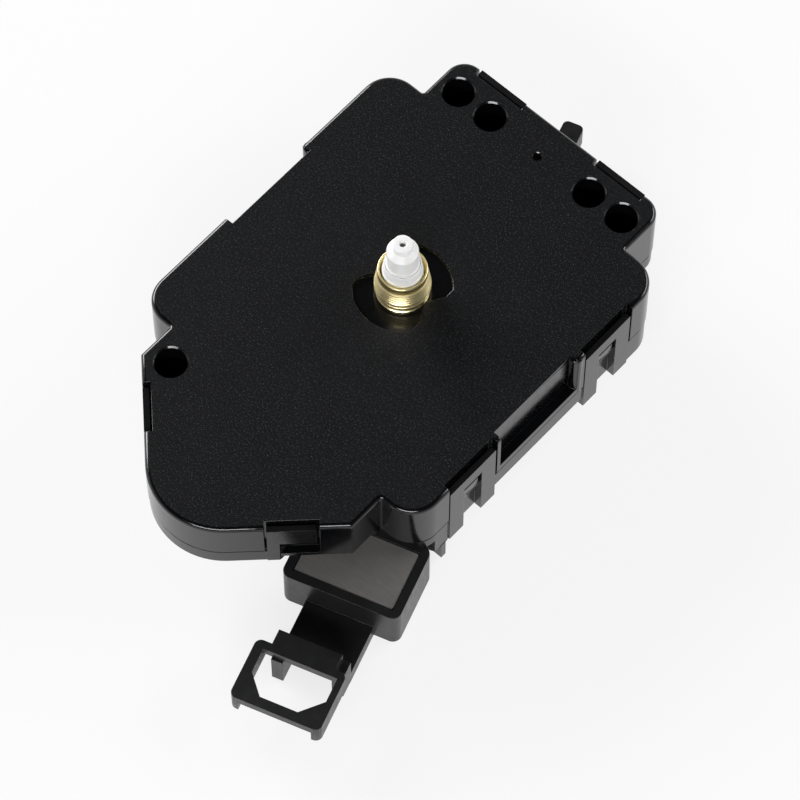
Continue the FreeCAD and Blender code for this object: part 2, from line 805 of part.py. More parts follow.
def front_case():
    depth = size("front_case_depth")
    outer = case_prism(0, depth, 0)
    rim = [edge for edge in outer.Edges if abs(edge.BoundBox.ZMin) < size("press_gap")]
    outer = outer.makeFillet(size("face_edge_round"), rim)
    cavity = case_prism(size("case_wall"), depth + size("overrun"), size("face_thickness"))
    tall = total_of(CHIN_BOTTOM) + size("overrun")
    body = outer.cut(cavity)
    for left, right, back in ((-tall, total_of(NOTCH_LEFT), size("chin_front_depth")),
                              (total_of(NOTCH_LEFT), tall, total_of("chin_depth - thin_floor - running_gap"))):
        corner = FreeCAD.Vector(left, -tall, -depth - size("overrun"))
        body = body.cut(Part.makeBox(right - left, tall - size("chin_split"), depth + size("overrun") - back, corner))
    shell = shaped("front_shell", body)
    chin_hole = FreeCAD.Vector(-total_of(CHIN_HOLE_LEFT), -total_of(CHIN_HOLE_DROP), 0)
    pivot = FreeCAD.Vector(0, total_of(PIVOT_HEIGHT), 0)
    back = behind("front_case_depth")
    inner_face = "-face_thickness"
    solids = [shell]
    posts = []
    cuts = []
    for mirror, hand in ((1, "right"), (-1, "left")):
        solids.append(recess_backing(mirror, hand))
        posts.append(side_post(mirror, hand))
        cuts.append(side_recess(mirror, hand))
    for label, centre, turn, length, top, windowed in wall_frames():
        solids.append(turned(strap_backing(label, length), centre, turn))
        cuts.append(turned(strap_pocket(label, length), centre, turn))
    for index, centre in enumerate(head_holes()):
        solids.append(rod_at(f"head_boss_{index}", "head_hole_radius + hole_boss_wall", back, inner_face, centre))
        cuts.append(rod_at(f"head_hole_{index}", "head_hole_radius", back + " - overrun", "overrun", centre))
        cuts.append(hole_rim(f"head_rim_{index}", "head_hole_radius", "hole_chamfer", centre))
    solids.append(rod_at("chin_boss", "chin_hole_radius + hole_boss_wall", "-chin_front_depth", inner_face, chin_hole))
    cuts.append(rod_at("chin_hole", "chin_hole_radius", "-chin_front_depth - overrun", "overrun", chin_hole))
    cuts.append(hole_rim("chin_rim", "chin_hole_radius", "hole_chamfer", chin_hole))
    solids.append(rod_at("pivot_sleeve", "pivot_sleeve_radius", back, inner_face, pivot))
    cuts.append(rod_at("pivot_hole", "pivot_pin_radius + press_gap", back + " - overrun", "overrun", pivot))
    cuts.append(hole_rim("pivot_rim", "pivot_pin_radius + press_gap", "pivot_hole_chamfer", pivot))
    for index, centre in enumerate(pillar_places()):
        solids.append(rod_at(f"pillar_{index}", "pillar_radius", behind(PLATE_FRONT), inner_face, centre))
    solids.append(rod_at("reversing_stud", "reversing_stud_radius", behind(REVERSING_BACK + " + bush_flange"),
                         inner_face, REVERSING))
    solids.append(rod_at("reversing_seat", "reversing_stud_radius + running_gap + running_gap",
                         "-face_thickness - bush_flange", inner_face, REVERSING))
    solids.append(rod_at("setting_boss", "setting_boss_radius", "-face_thickness - setting_boss_length",
                         inner_face, SETTING))
    cuts.append(rod_at("setting_socket", "setting_shaft_radius + running_gap",
                       "-face_thickness - setting_boss_length - overrun", "-face_thickness - setting_boss_floor",
                       SETTING))
    for index, centre in enumerate(stator_posts()):
        solids.append(rod_at(f"stator_post_{index}", "stator_post_radius", behind(STATOR_FRONT), inner_face, centre))
    solids.append(rod("drive_coil_post", "drive_coil_post_radius", "-drive_coil_front", inner_face,
                      y="-" + DRIVE_COIL_DROP))
    cuts.append(rod("drive_coil_socket", "drive_coil_core_radius + press_gap", "-drive_coil_front - overrun",
                    "-face_thickness - setting_boss_floor", y="-" + DRIVE_COIL_DROP))
    cuts.append(rod("bush_hole", "bush_seat_radius + press_gap", "-face_thickness - overrun", "overrun"))
    cuts.append(bush_lobes())
    catches = [turned(strap_catch(label), centre, turn)
               for label, centre, turn, length, top, windowed in wall_frames() if windowed]
    case = cut("front_case_cut", join("front_case_solids", solids), cuts)
    node(join("front_case", [case] + posts + catches), "front_case")


def pillar_places():
    return [FreeCAD.Vector(-size("pillar_left"), size("pillar_top"), 0),
            FreeCAD.Vector(-size("pillar_left"), -size("pillar_bottom"), 0),
            FreeCAD.Vector(size("pillar_right"), size("pillar_top"), 0),
            FreeCAD.Vector(size("pillar_right"), -size("pillar_bottom"), 0)]


# Stepping motor places

STATOR_FRONT = PLATE_BACK + " + wheel_gap + wheel_gap"
STATOR_BACK = STATOR_FRONT + " + stator_thickness"
CORE_BACK = STATOR_BACK + " + core_thickness"


def stator_posts():
    return [FreeCAD.Vector(total_of(COIL_RIGHT), total_of(COIL_HIGH) + size("core_overlap") * 0.5, 0),
            FreeCAD.Vector(ROTOR.x, total_of(COIL_LOW) - size("core_overlap") * 0.5, 0)]


# Rear cover

def strap_bar(label, length, top, windowed):
    """One snap strap with its window, drawn on the origin with +Y out of the wall."""
    half = f"{length} * 0.5"
    deep = strap_end(label)
    bar = slab("bar_" + label, "-" + half, half, "-strap_thickness", "0", behind(deep), "-" + top)
    foot = slab("foot_" + label, "-" + half, half, "-strap_thickness - strap_foot", "0", behind(deep),
                behind(case_back(label)))
    window = slab("window_" + label, "-window_width * 0.5", "window_width * 0.5",
                  "-strap_thickness - strap_foot - overrun", "overrun", behind(deep) + " - overrun", "-window_top")
    solid = join("strap_solids_" + label, [bar, foot])
    if windowed:
        return cut("strap_" + label, solid, [window])
    if label == "right_taper":
        return cut("strap_" + label, solid, [strap_notch(length)])
    return solid


def strap_end(label):
    """The side straps reach past the cover's floor as feet, the others end level with the cover."""
    if "taper" in label:
        return "chin_depth"
    if "top" in label:
        return "head_depth"
    return "strap_depth"


def window_well(label):
    """Opens the cover's rim behind a side strap's window."""
    return slab("well_" + label, "-window_width * 0.5", "window_width * 0.5", "-strap_thickness - strap_back_gap",
                "overrun", "-strap_depth - overrun", behind("front_case_depth - overrun"))


def window_wall(label):
    """The rim set back behind a side strap's window."""
    return slab("window_wall_" + label, "-window_width * 0.5 - rim_wall", "window_width * 0.5 + rim_wall",
                "-strap_thickness - strap_back_gap - side_recess_wall", "-strap_thickness - strap_back_gap",
                "-body_depth", behind("front_case_depth"))


def strap_notch(length):
    """The rear cover's notch for the lever takes away this strap's foot on the lever's side."""
    slope = math.radians(size("chin_taper_angle"))
    start = (total_of(TAPER_STRAP_REACH) - total_of(NOTCH_LEFT)) / math.cos(slope)
    half = size(length) / 2 + size("overrun")
    deep = size("strap_thickness") + size("strap_foot") + size("overrun")
    low = size("chin_depth") + size("overrun")
    corner = FreeCAD.Vector(-half, -deep, -low)
    box = Part.makeBox(half + start, deep + size("overrun"), low - size("notch_depth"), corner)
    return shaped("strap_notch", box)


def rear_shell():
    """Rim and stepped floor: deep behind the body, shallower behind the head and the chin."""
    wide = size("body_half_width") + size("overrun")
    tall = total_of(CHIN_BOTTOM) + size("overrun")
    rim = size("rim_inset")
    wall = rim + size("rim_wall")
    front = size("front_case_depth")
    deep = size("body_depth")
    over = size("overrun")
    floor = size("floor_thickness")
    thin = size("thin_floor")
    sweep = total_of(BOX_NEAR) - size("wheel_gap")
    pivot = FreeCAD.Vector(0, total_of(PIVOT_HEIGHT), 0)

    def band(low, high, back, face, left=-wide):
        corner = FreeCAD.Vector(left, low, -back)
        return Part.makeBox(wide - left, high - low, back - face, corner)

    def swept(radius, back, face):
        """Everything that the magnet box can pass over, right of the battery bay."""
        disc = Part.makeCylinder(radius, back - face, pivot + FreeCAD.Vector(0, 0, -back))
        return band(-tall, -size("side_recess_bottom"), back, face, bay_right() + over).cut(disc)

    outer = case_prism(rim, deep, front)
    outer = outer.cut(band(size("body_top"), tall, deep + over, size("head_depth")))
    outer = outer.cut(band(-tall, -size("body_bottom"), deep + over, size("chin_depth")))
    outer = outer.cut(swept(sweep, deep + over, size("sweep_depth")))
    chin_front = size("chin_front_depth")
    chin_rise = case_prism(rim, front, chin_front).common(band(-tall, -size("chin_split"), front, chin_front))
    outer = outer.fuse(chin_rise)
    sunk = rim + size("parting_groove")
    lip = size("parting_height")
    case_groove = case_prism(0, front + lip, front).cut(case_prism(sunk, front + lip, front))
    chin_groove = case_prism(0, chin_front + lip, chin_front).cut(case_prism(sunk, chin_front + lip, chin_front))
    below = band(-tall, -size("chin_split"), front + lip, front)
    chin_groove = chin_groove.common(band(-tall, -size("chin_split"), chin_front + lip, chin_front))
    outer = outer.cut(case_groove.cut(below)).cut(chin_groove)
    feet = case_prism(rim, size("strap_depth"), deep).cut(case_prism(wall, size("strap_depth") + over, deep - over))
    clear = total_of("side_strap_height - side_strap_length * 0.5")
    low_end = total_of("side_strap_drop - side_strap_length * 0.5")
    feet = feet.common(band(-size("body_bottom") + wall, size("body_top"), size("strap_depth"), deep))
    feet = feet.cut(band(-low_end, clear, size("strap_depth"), deep))
    lip_back = size("recess_lip_depth")
    for left in (-wide, size("body_half_width") - wall):
        strip = Part.makeBox(wide - size("body_half_width") + wall, clear + low_end, deep + over - lip_back,
                             FreeCAD.Vector(left, -low_end, -deep - over))
        outer = outer.cut(strip)
    feet = feet.cut(swept(sweep, size("strap_depth"), deep))
    outer = outer.fuse(feet)
    shallow = case_prism(wall, size("chin_depth") - thin, chin_front - over)
    sweep_room = case_prism(wall, size("sweep_depth") - thin, front - over)
    sweep_room = sweep_room.common(band(-size("body_bottom") + wall, size("body_top") - wall, deep, front - over))
    body_room = case_prism(wall, deep - floor, front - over)
    body_room = body_room.common(band(-size("body_bottom") + wall, size("body_top") - wall, deep, front - over))
    body_room = body_room.cut(swept(sweep - size("rim_wall"), deep, front - over))
    head_room = case_prism(wall, size("head_depth") - thin, front - over)
    head_room = head_room.common(band(-size("body_bottom") + wall, tall, deep, front - over))
    head_room = head_room.cut(swept(sweep - size("rim_wall"), deep, front - over))
    shell = outer.cut(shallow).cut(sweep_room).cut(body_room).cut(head_room)
    ring = case_prism(0, deep, chin_front - over).cut(case_prism(wall, deep + over, chin_front - over - over))
    notch = ring.common(band(-tall, -size("notch_top"), deep + over, chin_front - over, total_of(NOTCH_LEFT)))
    return shaped("rear_shell", shell.cut(notch))


def bay_right():
    """The battery bay's outer wall on the gear train's side."""
    return -total_of(CELL_CENTRE) + size("cell_diameter") / 2 + size("cell_play") / 2 + size("bay_wall")


BAY_LEFT = f"-{CELL_CENTRE} - cell_diameter * 0.5 - cell_play * 0.5"
BAY_RIGHT = f"-{CELL_CENTRE} + cell_diameter * 0.5 + cell_play * 0.5"
BAY_LOW = "-cell_middle - cell_length * 0.5 - contact_thickness - contact_dimple_height * 0.5"
BAY_HIGH = "-cell_middle + cell_length * 0.5 + contact_thickness + contact_dimple_height * 0.5"
BOARD_FRONT = FLOOR + " - board_lift - board_thickness"
TAB_FRONT = BOARD_FRONT + " - contact_thickness"
STRIP_FRONT = "bay_roof_depth + contact_strip_gap + contact_strip_gap"


def rear_cover():
    solids = [rear_shell()]
    cuts = []
    solids.append(slab("bay_block", BAY_LEFT + " - bay_wall", BAY_RIGHT + " + bay_wall", BAY_LOW + " - bay_wall",
                       BAY_HIGH + " + bay_wall", "-bay_back_depth", "-bay_roof_depth + bay_roof"))
    cuts.append(slab("bay_well", BAY_LEFT, BAY_RIGHT, BAY_LOW, BAY_HIGH, "-bay_back_depth - overrun",
                     "-bay_roof_depth"))
    cuts.append(slab("positive_slot", BAY_RIGHT + " - overrun", BAY_RIGHT + " + bay_wall + overrun",
                     BAY_HIGH + " - contact_tab_width - contact_slot_gap", BAY_HIGH,
                     behind(BOARD_FRONT + " + contact_slot_gap"), behind(TAB_FRONT + " - contact_slot_gap")))
    cuts.append(slab("negative_slot", BAY_RIGHT + " - overrun", BAY_RIGHT + " + bay_wall + overrun", BAY_LOW,
                     BAY_LOW + " + contact_thickness + contact_slot_gap",
                     behind(STRIP_FRONT + " + contact_strip_height + contact_slot_gap"),
                     behind(STRIP_FRONT + " - contact_slot_gap")))
    for name, centre, radius in (("seconds", CENTRE, "seconds_pin_radius"), ("third", THIRD, "pivot_radius"),
                                 ("intermediate", INTERMEDIATE, "pivot_radius"), ("rotor", ROTOR, "pivot_radius")):
        solids.append(rod_at(name + "_boss", "pivot_boss_radius", behind(FLOOR), behind(BOSS_FRONT), centre))
        cuts.append(rod_at(name + "_bearing", radius + " + running_gap",
                           behind(PIVOT_BACK + " + running_gap"), behind(BOSS_FRONT + " - overrun"), centre))
    for index, centre in enumerate(board_posts()):
        solids.append(rod_at(f"board_post_{index}", "board_post_radius", behind(FLOOR),
                             behind(FLOOR + " - board_lift"), centre))
    shell_cuts = []
    for label, centre, turn, length, top, windowed in wall_frames():
        solids.append(turned(strap_bar(label, length, top, windowed), centre, turn))
        if length == "side_strap_length":
            solids.append(turned(window_wall(label), centre, turn))
            shell_cuts.append(turned(window_well(label), centre, turn))
    solids[0] = cut("rear_shell_open", solids[0], shell_cuts)
    for name, height, inset in (("low", "stop_rib_low", "stop_rib_inset"),
                                ("high", "stop_rib_high", "stop_rib_back_inset")):
        solids.append(slab("stop_rib_" + name, f"body_half_width - {inset} - stop_rib_width",
                           f"body_half_width - {inset}", f"-{height} - stop_rib_thickness * 0.5",
                           f"-{height} + stop_rib_thickness * 0.5", "-stop_rib_depth", behind(FLOOR)))
    pivot = FreeCAD.Vector(0, total_of(PIVOT_HEIGHT), 0)
    cuts.append(rod_at("cover_pivot_hole", "pivot_cover_hole", "-body_depth - overrun", "0", pivot))
    cuts.append(rod_at("cover_setting_hole", "setting_shaft_radius + running_gap", "-body_depth - overrun", "0",
                       SETTING))
    node(cut("rear_cover", join("rear_cover_solids", solids), cuts), "rear_cover")


def board_posts():
    left = bay_right() + size("contact_strip_gap") + size("contact_thickness") + size("board_post_inset")
    right = total_of(BOARD_RIGHT) - size("board_post_inset")
    low = total_of(BOARD_LOW) + size("board_post_inset")
    high = total_of(BOARD_HIGH) - size("board_post_inset")
    return [FreeCAD.Vector(left, high, 0), FreeCAD.Vector(right, high, 0), FreeCAD.Vector(right, low, 0)]


# Hand shafts

def threaded_bush():
    body = join("bush_solids", [rod("bush_seat", "bush_seat_radius", "-face_thickness", "0"),
                                rod("bush_thread", "thread_radius", "0", "bush_neck_start"),
                                rod("bush_neck", "bush_neck_radius", "bush_neck_start", "bush_height"),
                                rod("bush_collar", "bush_flange_radius", "-face_thickness - bush_flange",
                                    "-face_thickness")])
    bore = rod("bush_bore", "hour_tube_radius + running_gap", "-face_thickness - overrun", "bush_height + overrun")
    rim = rod("bush_rim", "bush_rim_radius", "bush_height - bush_rim_depth", "bush_height + overrun")
    node(cut("threaded_bush", body, [bore, rim]), "threaded_bush")


def hour_wheel():
    teeth = gear("hour_teeth", "hour_wheel_teeth", HOUR_MODULE, size("reversing_angle"), HOUR_BACK, HOUR_FRONT)
    tube = rod("hour_tube", "hour_tube_radius", behind(HOUR_BACK), "bush_height - bush_rim_depth")
    neck = rod("hour_neck", "hour_neck_radius", "bush_height - bush_rim_depth", "bush_height")
    seat = rod("hour_seat", "hour_seat_radius", "bush_height", "hour_seat_top")
    taper = cone("hour_taper", "hour_seat_radius", "hour_tip_radius", "hour_seat_top", "hour_tube_top")
    bore = rod("hour_bore", "minute_tube_radius + running_gap", behind(HOUR_BACK) + " - overrun",
               "hour_tube_top + overrun")
    node(cut("hour_wheel", join("hour_wheel_solids", [teeth, tube, neck, seat, taper]), [bore]), "hour_wheel")


def minute_tube():
    pinion = gear("minute_teeth", "minute_pinion_teeth", size("minute_module"), size("reversing_angle"),
                  CENTRE_FRONT, REVERSING_FRONT)
    core = rod("minute_core", "clutch_seat_radius", behind(CENTRE_BACK), "0")
    tube = rod("minute_body", "minute_tube_radius", behind(HOUR_BACK), "minute_seat_start")
    seat = rod("minute_seat", "minute_seat_radius", "minute_seat_start", "minute_tube_shoulder")
    taper = cone("minute_taper", "minute_seat_radius", "minute_tip_radius", "minute_tube_shoulder",
                 "minute_tip - minute_tip_land")
    tip = rod("minute_tip", "minute_tip_radius", "minute_tip - minute_tip_land", "minute_tip")
    bore = rod("minute_bore", "seconds_pin_radius + running_gap", behind(CENTRE_BACK) + " - overrun",
               "minute_tip + overrun")
    node(cut("minute_tube", join("minute_solids", [pinion, core, tube, seat, taper, tip]), [bore]), "minute_tube")


def seconds_arbor():
    node(rod("seconds_arbor", "seconds_pin_radius", behind(PIVOT_BACK), "seconds_pin_top"), "seconds_arbor")


# Gear train

def centre_wheel():
    teeth = gear("centre_teeth", "centre_wheel_teeth", CENTRE_MODULE,
                 gap_phase(size("third_angle") + 180.0, "centre_wheel_teeth"), CENTRE_BACK, CENTRE_FRONT)
    seat = rod("centre_seat", "clutch_seat_radius + running_gap", behind(CENTRE_BACK) + " - overrun", "0")
    node(cut("centre_wheel", teeth, [seat]), "centre_wheel")


def seconds_wheel():
    wheel = gear("seconds_teeth", "seconds_wheel_teeth", size("seconds_module"), size("intermediate_angle"),
                 SECONDS_BACK, SECONDS_FRONT)
    pinion = gear("seconds_pinion_teeth_solid", "seconds_pinion_teeth", size("third_module"), size("third_angle"),
                  SECONDS_FRONT, THIRD_FRONT)
    hole = rod("seconds_hole", "seconds_pin_radius + press_gap", behind(SECONDS_BACK) + " - overrun", "0")
    node(cut("seconds_wheel", join("seconds_solids", [wheel, pinion]), [hole]), "seconds_wheel")


def third_wheel():
    wheel = gear("third_teeth", "third_wheel_teeth", size("third_module"),
                 gap_phase(size("third_angle"), "third_wheel_teeth"), THIRD_BACK, THIRD_FRONT)
    arbor = rod("third_arbor", "pivot_radius", behind(PIVOT_BACK), behind(CENTRE_FRONT))
    node(join("third_wheel", [wheel, arbor]), "third_wheel", FreeCAD.Placement(THIRD, FreeCAD.Rotation()))


def third_pinion():
    teeth = gear("third_pinion_teeth_solid", "third_pinion_teeth", CENTRE_MODULE, size("third_angle") + 180.0,
                 CENTRE_BACK, CENTRE_FRONT)
    hole = rod("third_pinion_hole", "pivot_radius + press_gap", behind(CENTRE_BACK) + " - overrun", "0")
    node(cut("third_pinion", teeth, [hole]), "third_pinion", FreeCAD.Placement(THIRD, FreeCAD.Rotation()))


def intermediate_wheel():
    wheel = gear("intermediate_teeth", "intermediate_wheel_teeth", size("intermediate_module"),
                 size("rotor_angle"), INTERMEDIATE_BACK, INTERMEDIATE_FRONT)
    pinion = gear("intermediate_pinion", "intermediate_pinion_teeth", size("seconds_module"),
                  gap_phase(size("intermediate_angle"), "intermediate_pinion_teeth"), INTERMEDIATE_FRONT,
                  SECONDS_FRONT)
    arbor = rod("intermediate_arbor", "pivot_radius", behind(PIVOT_BACK), behind(PLATE_FRONT))
    node(join("intermediate_wheel", [wheel, pinion, arbor]), "intermediate_wheel",
         FreeCAD.Placement(INTERMEDIATE, FreeCAD.Rotation()))


def rotor_pinion():
    pinion = gear("rotor_teeth", "rotor_pinion_teeth", size("intermediate_module"),
                  gap_phase(size("rotor_angle"), "rotor_pinion_teeth"), INTERMEDIATE_BACK, INTERMEDIATE_FRONT)
    arbor = rod("rotor_arbor", "pivot_radius", behind(PIVOT_BACK), behind(PLATE_FRONT))
    node(join("rotor_pinion", [pinion, arbor]), "rotor_pinion", FreeCAD.Placement(ROTOR, FreeCAD.Rotation()))


def rotor_magnet():
    middle = "(" + STATOR_FRONT + " + " + STATOR_BACK + ") * 0.5"
    ring = rod("rotor_ring", "rotor_magnet_radius", f"-{middle} - rotor_magnet_thickness * 0.5",
               f"-{middle} + rotor_magnet_thickness * 0.5")
    hole = rod("rotor_hole", "pivot_radius + press_gap", "-body_depth", "0")
    node(cut("rotor_magnet", ring, [hole]), "rotor_magnet", FreeCAD.Placement(ROTOR, FreeCAD.Rotation()))


def reversing_phase():
    return gap_phase(size("reversing_angle"), "reversing_wheel_teeth")


def reversing_wheel():
    wheel = gear("reversing_teeth", "reversing_wheel_teeth", size("minute_module"), reversing_phase(),
                 REVERSING_BACK, REVERSING_FRONT)
    pinion = gear("reversing_pinion", "reversing_pinion_teeth", HOUR_MODULE,
                  gap_phase(size("reversing_angle"), "reversing_pinion_teeth"), REVERSING_FRONT, HOUR_FRONT)
    hole = rod("reversing_hole", "reversing_stud_radius + running_gap", "-body_depth", "0")
    node(cut("reversing_wheel", join("reversing_solids", [wheel, pinion]), [hole]), "reversing_wheel",
         FreeCAD.Placement(REVERSING, FreeCAD.Rotation()))


def setting_gear():
    """Its gap faces the reversing wheel's nearest tooth, wherever that tooth stands."""
    pitch = 360.0 / size("reversing_wheel_teeth")
    lag = (reversing_phase() - size("setting_angle")) % pitch
    answer = -lag * size("reversing_wheel_teeth") / size("setting_gear_teeth")
    phase = gap_phase(size("setting_angle"), "setting_gear_teeth") + answer
    teeth = gear("setting_teeth", "setting_gear_teeth", size("minute_module"), phase, REVERSING_BACK,
                 REVERSING_FRONT)
    hole = rod("setting_gear_hole", "setting_shaft_radius + press_gap", "-body_depth", "0")
    node(cut("setting_gear", teeth, [hole]), "setting_gear", FreeCAD.Placement(SETTING, FreeCAD.Rotation()))


def setting_knob():
    front = "body_depth + knob_gap"
    shaft = rod("setting_shaft", "setting_shaft_radius", behind(front),
                "-face_thickness - setting_boss_floor - running_gap")
    disc = rod("knob_disc", "knob_radius", behind(front + " + knob_thickness"), behind(front))
    flutes = []
    for index in range(round(size("knob_flutes"))):
        centre = away(CENTRE, size("knob_radius"), 360.0 * index / round(size("knob_flutes")))
        flutes.append(rod_at(f"flute_{index}", "knob_flute_radius", behind(front + " + knob_thickness + overrun"),
                             behind(front + " - overrun"), centre))
    fluted = cut("knob_fluted", disc, flutes)
    node(join("setting_knob", [shaft, fluted]), "setting_knob", FreeCAD.Placement(SETTING, FreeCAD.Rotation()))


def gear_plate():
    run = "running_gap"
    holes = [(CENTRE, "seconds_pin_radius + " + run), (THIRD, "pivot_radius + " + run),
             (INTERMEDIATE, "pivot_radius + " + run), (ROTOR, "pivot_radius + " + run)]
    plate = rounded_plate("gear_plate", "-pillar_left - gear_plate_corner", "pillar_right + gear_plate_corner * 0.5",
                          "-pillar_bottom - gear_plate_corner", "pillar_top + gear_plate_corner",
                          behind(PLATE_BACK), behind(PLATE_FRONT), "gear_plate_corner", holes)
    node(plate, "gear_plate")


# Stepping motor

def bar_between(name, left, right, low, high, back, front):
    """A bar of the stator between two worked-out sides."""
    bar = slab(name, "0", "overrun", "0", "overrun", back, front)
    for path in ("Length", "Width", "Placement.Base.x", "Placement.Base.y"):
        bar.setExpression(path, None)
    bar.Length = right - left
    bar.Width = high - low
    bar.Placement.Base = FreeCAD.Vector(left, low, bar.Placement.Base.z)
    return bar


def motor_stator():
    ring = "rotor_magnet_radius + rotor_air_gap + stator_ring"
    back = behind(STATOR_BACK)
    front = behind(STATOR_FRONT)
    pole = rod_at("stator_pole", ring, back, front, ROTOR)
    left = ROTOR.x - size("stator_arm") / 2
    right = total_of(COIL_RIGHT) + size("core_width") / 2
    low = total_of(COIL_LOW)
    high = total_of(COIL_HIGH)
    reach = size("core_overlap")
    upper = bar_between("stator_upper", ROTOR.x, right, high, high + reach, back, front)
    lower = bar_between("stator_lower", left, right, low - reach, low, back, front)
    leg = bar_between("stator_leg", left, left + size("stator_arm"), low - reach, ROTOR.y, back, front)
    hole = rod_at("stator_hole", "rotor_magnet_radius + rotor_air_gap", back + " - overrun", front + " + overrun",
                  ROTOR)
    node(cut("motor_stator", join("stator_solids", [pole, upper, lower, leg]), [hole]), "motor_stator")


def motor_core():
    bar = slab("motor_coil_core", COIL_RIGHT + " - core_width * 0.5", COIL_RIGHT + " + core_width * 0.5",
               COIL_LOW + " - core_overlap", COIL_HIGH + " + core_overlap", behind(CORE_BACK),
               behind(STATOR_BACK))
    node(bar, "motor_coil_core")


COIL_AXIS = "-(" + STATOR_BACK + ") - core_thickness * 0.5"


def along_y(name, radius, low, high):
    """A cylinder along Y on the motor coil's axis."""
    piece = doc.addObject("Part::Cylinder", name)
    bind(piece, Radius=radius, Height=f"({high}) - ({low})")
    piece.Placement.Rotation = FreeCAD.Rotation(FreeCAD.Vector(1, 0, 0), -90)
    return bind(piece, Placement__Base__x=COIL_RIGHT, Placement__Base__y=low, Placement__Base__z=COIL_AXIS)


def core_passage(name):
    return slab(name, COIL_RIGHT + " - core_width * 0.5 - press_gap",
                COIL_RIGHT + " + core_width * 0.5 + press_gap", COIL_LOW + " - overrun", COIL_HIGH + " + overrun",
                 behind(CORE_BACK) + " - press_gap", behind(STATOR_BACK) + " + press_gap")


def motor_bobbin():
    sleeve = along_y("bobbin_sleeve", "core_width * 0.5 + bobbin_wall", COIL_LOW, COIL_HIGH)
    flanges = []
    for name, low in (("low", COIL_LOW), ("high", COIL_HIGH + " - coil_flange")):
        flanges.append(slab("bobbin_flange_" + name, COIL_RIGHT + " - coil_half_width",
                            COIL_RIGHT + " + coil_half_width", low, low + " + coil_flange",
                            COIL_AXIS + " - coil_half_width", COIL_AXIS + " + coil_half_width"))
    whole = join("bobbin_solids", [sleeve] + flanges)
    node(cut("motor_coil_bobbin", whole, [core_passage("bobbin_passage")]), "motor_coil_bobbin")


def motor_winding():
    low = COIL_LOW + " + coil_flange"
    high = COIL_HIGH + " - coil_flange"
    wound = along_y("winding_outside", "coil_winding_radius", low, high)
    inner = along_y("winding_inside", "core_width * 0.5 + bobbin_wall", low + " - overrun", high + " + overrun")
    node(cut("motor_coil_winding", wound, [inner]), "motor_coil_winding")


# Circuit board

BOARD_LEFT = BAY_RIGHT + " + bay_wall + contact_strip_gap + contact_thickness"


def circuit_board():
    board = rounded_plate("circuit_board", BOARD_LEFT, BOARD_RIGHT, BOARD_LOW, BOARD_HIGH,
                          behind(BOARD_FRONT + " + board_thickness"), behind(BOARD_FRONT), "board_corner")
    node(board, "circuit_board")
    middle = f"({BOARD_LOW} + {BOARD_HIGH}) * 0.5"
    node(slab("control_chip", "chip_right - chip_length * 0.5", "chip_right + chip_length * 0.5",
              middle + " - chip_width * 0.5", middle + " + chip_width * 0.5", behind(BOARD_FRONT),
              behind(BOARD_FRONT) + " + chip_thickness"), "control_chip")
    for label, radius, length, right in (("quartz_crystal", "crystal_radius", "crystal_length", "crystal_right"),
                                         ("capacitor", "capacitor_radius", "capacitor_length", "capacitor_right")):
        can = doc.addObject("Part::Cylinder", label)
        bind(can, Radius=radius, Height=length)
        can.Placement.Rotation = FreeCAD.Rotation(FreeCAD.Vector(1, 0, 0), -90)
        bind(can, Placement__Base__x=right, Placement__Base__y=middle + f" - {length} * 0.5",
             Placement__Base__z=behind(BOARD_FRONT) + f" + {radius}")
        node(can, label)


# Battery contacts

def contact_plate(name, low):
    return slab(name, f"-{CELL_CENTRE} - contact_side", f"-{CELL_CENTRE} + cell_diameter * 0.5", low,
                low + " + contact_thickness", behind(TAB_FRONT + " + contact_height"), behind(TAB_FRONT))


def battery_contacts():
    plate = contact_plate("positive_plate", BAY_HIGH + " - contact_thickness")
    tab = slab("positive_tab", f"-{CELL_CENTRE} + cell_diameter * 0.5 - overrun", BOARD_LEFT + " + contact_tab_reach",
               BAY_HIGH + " - contact_tab_width", BAY_HIGH, behind(BOARD_FRONT), behind(TAB_FRONT))
    node(join("battery_contact_positive", [plate, tab]), "battery_contact_positive")
    plate = contact_plate("negative_plate", BAY_LOW)
    strip_back = behind(STRIP_FRONT + " + contact_strip_height")
    strip_front = behind(STRIP_FRONT)
    bridge = slab("negative_bridge", f"-{CELL_CENTRE} + cell_diameter * 0.5 - overrun", BOARD_LEFT, BAY_LOW,
                  BAY_LOW + " + contact_thickness", strip_back, strip_front)
    strip = slab("negative_strip", BOARD_LEFT + " - contact_thickness", BOARD_LEFT, BAY_LOW,
                 BOARD_LOW + " + contact_tab_width", strip_back, strip_front)
    dimple = doc.addObject("Part::Cylinder", "negative_dimple")
    bind(dimple, Radius="contact_dimple_radius", Height="contact_dimple_height")
    dimple.Placement.Rotation = FreeCAD.Rotation(FreeCAD.Vector(1, 0, 0), -90)
    bind(dimple, Placement__Base__x="-" + CELL_CENTRE, Placement__Base__y=BAY_LOW + " + contact_thickness",
         Placement__Base__z=behind(TAB_FRONT + " + contact_height * 0.5"))
    node(join("battery_contact_negative", [plate, bridge, strip, dimple]), "battery_contact_negative")


# Pendulum coil

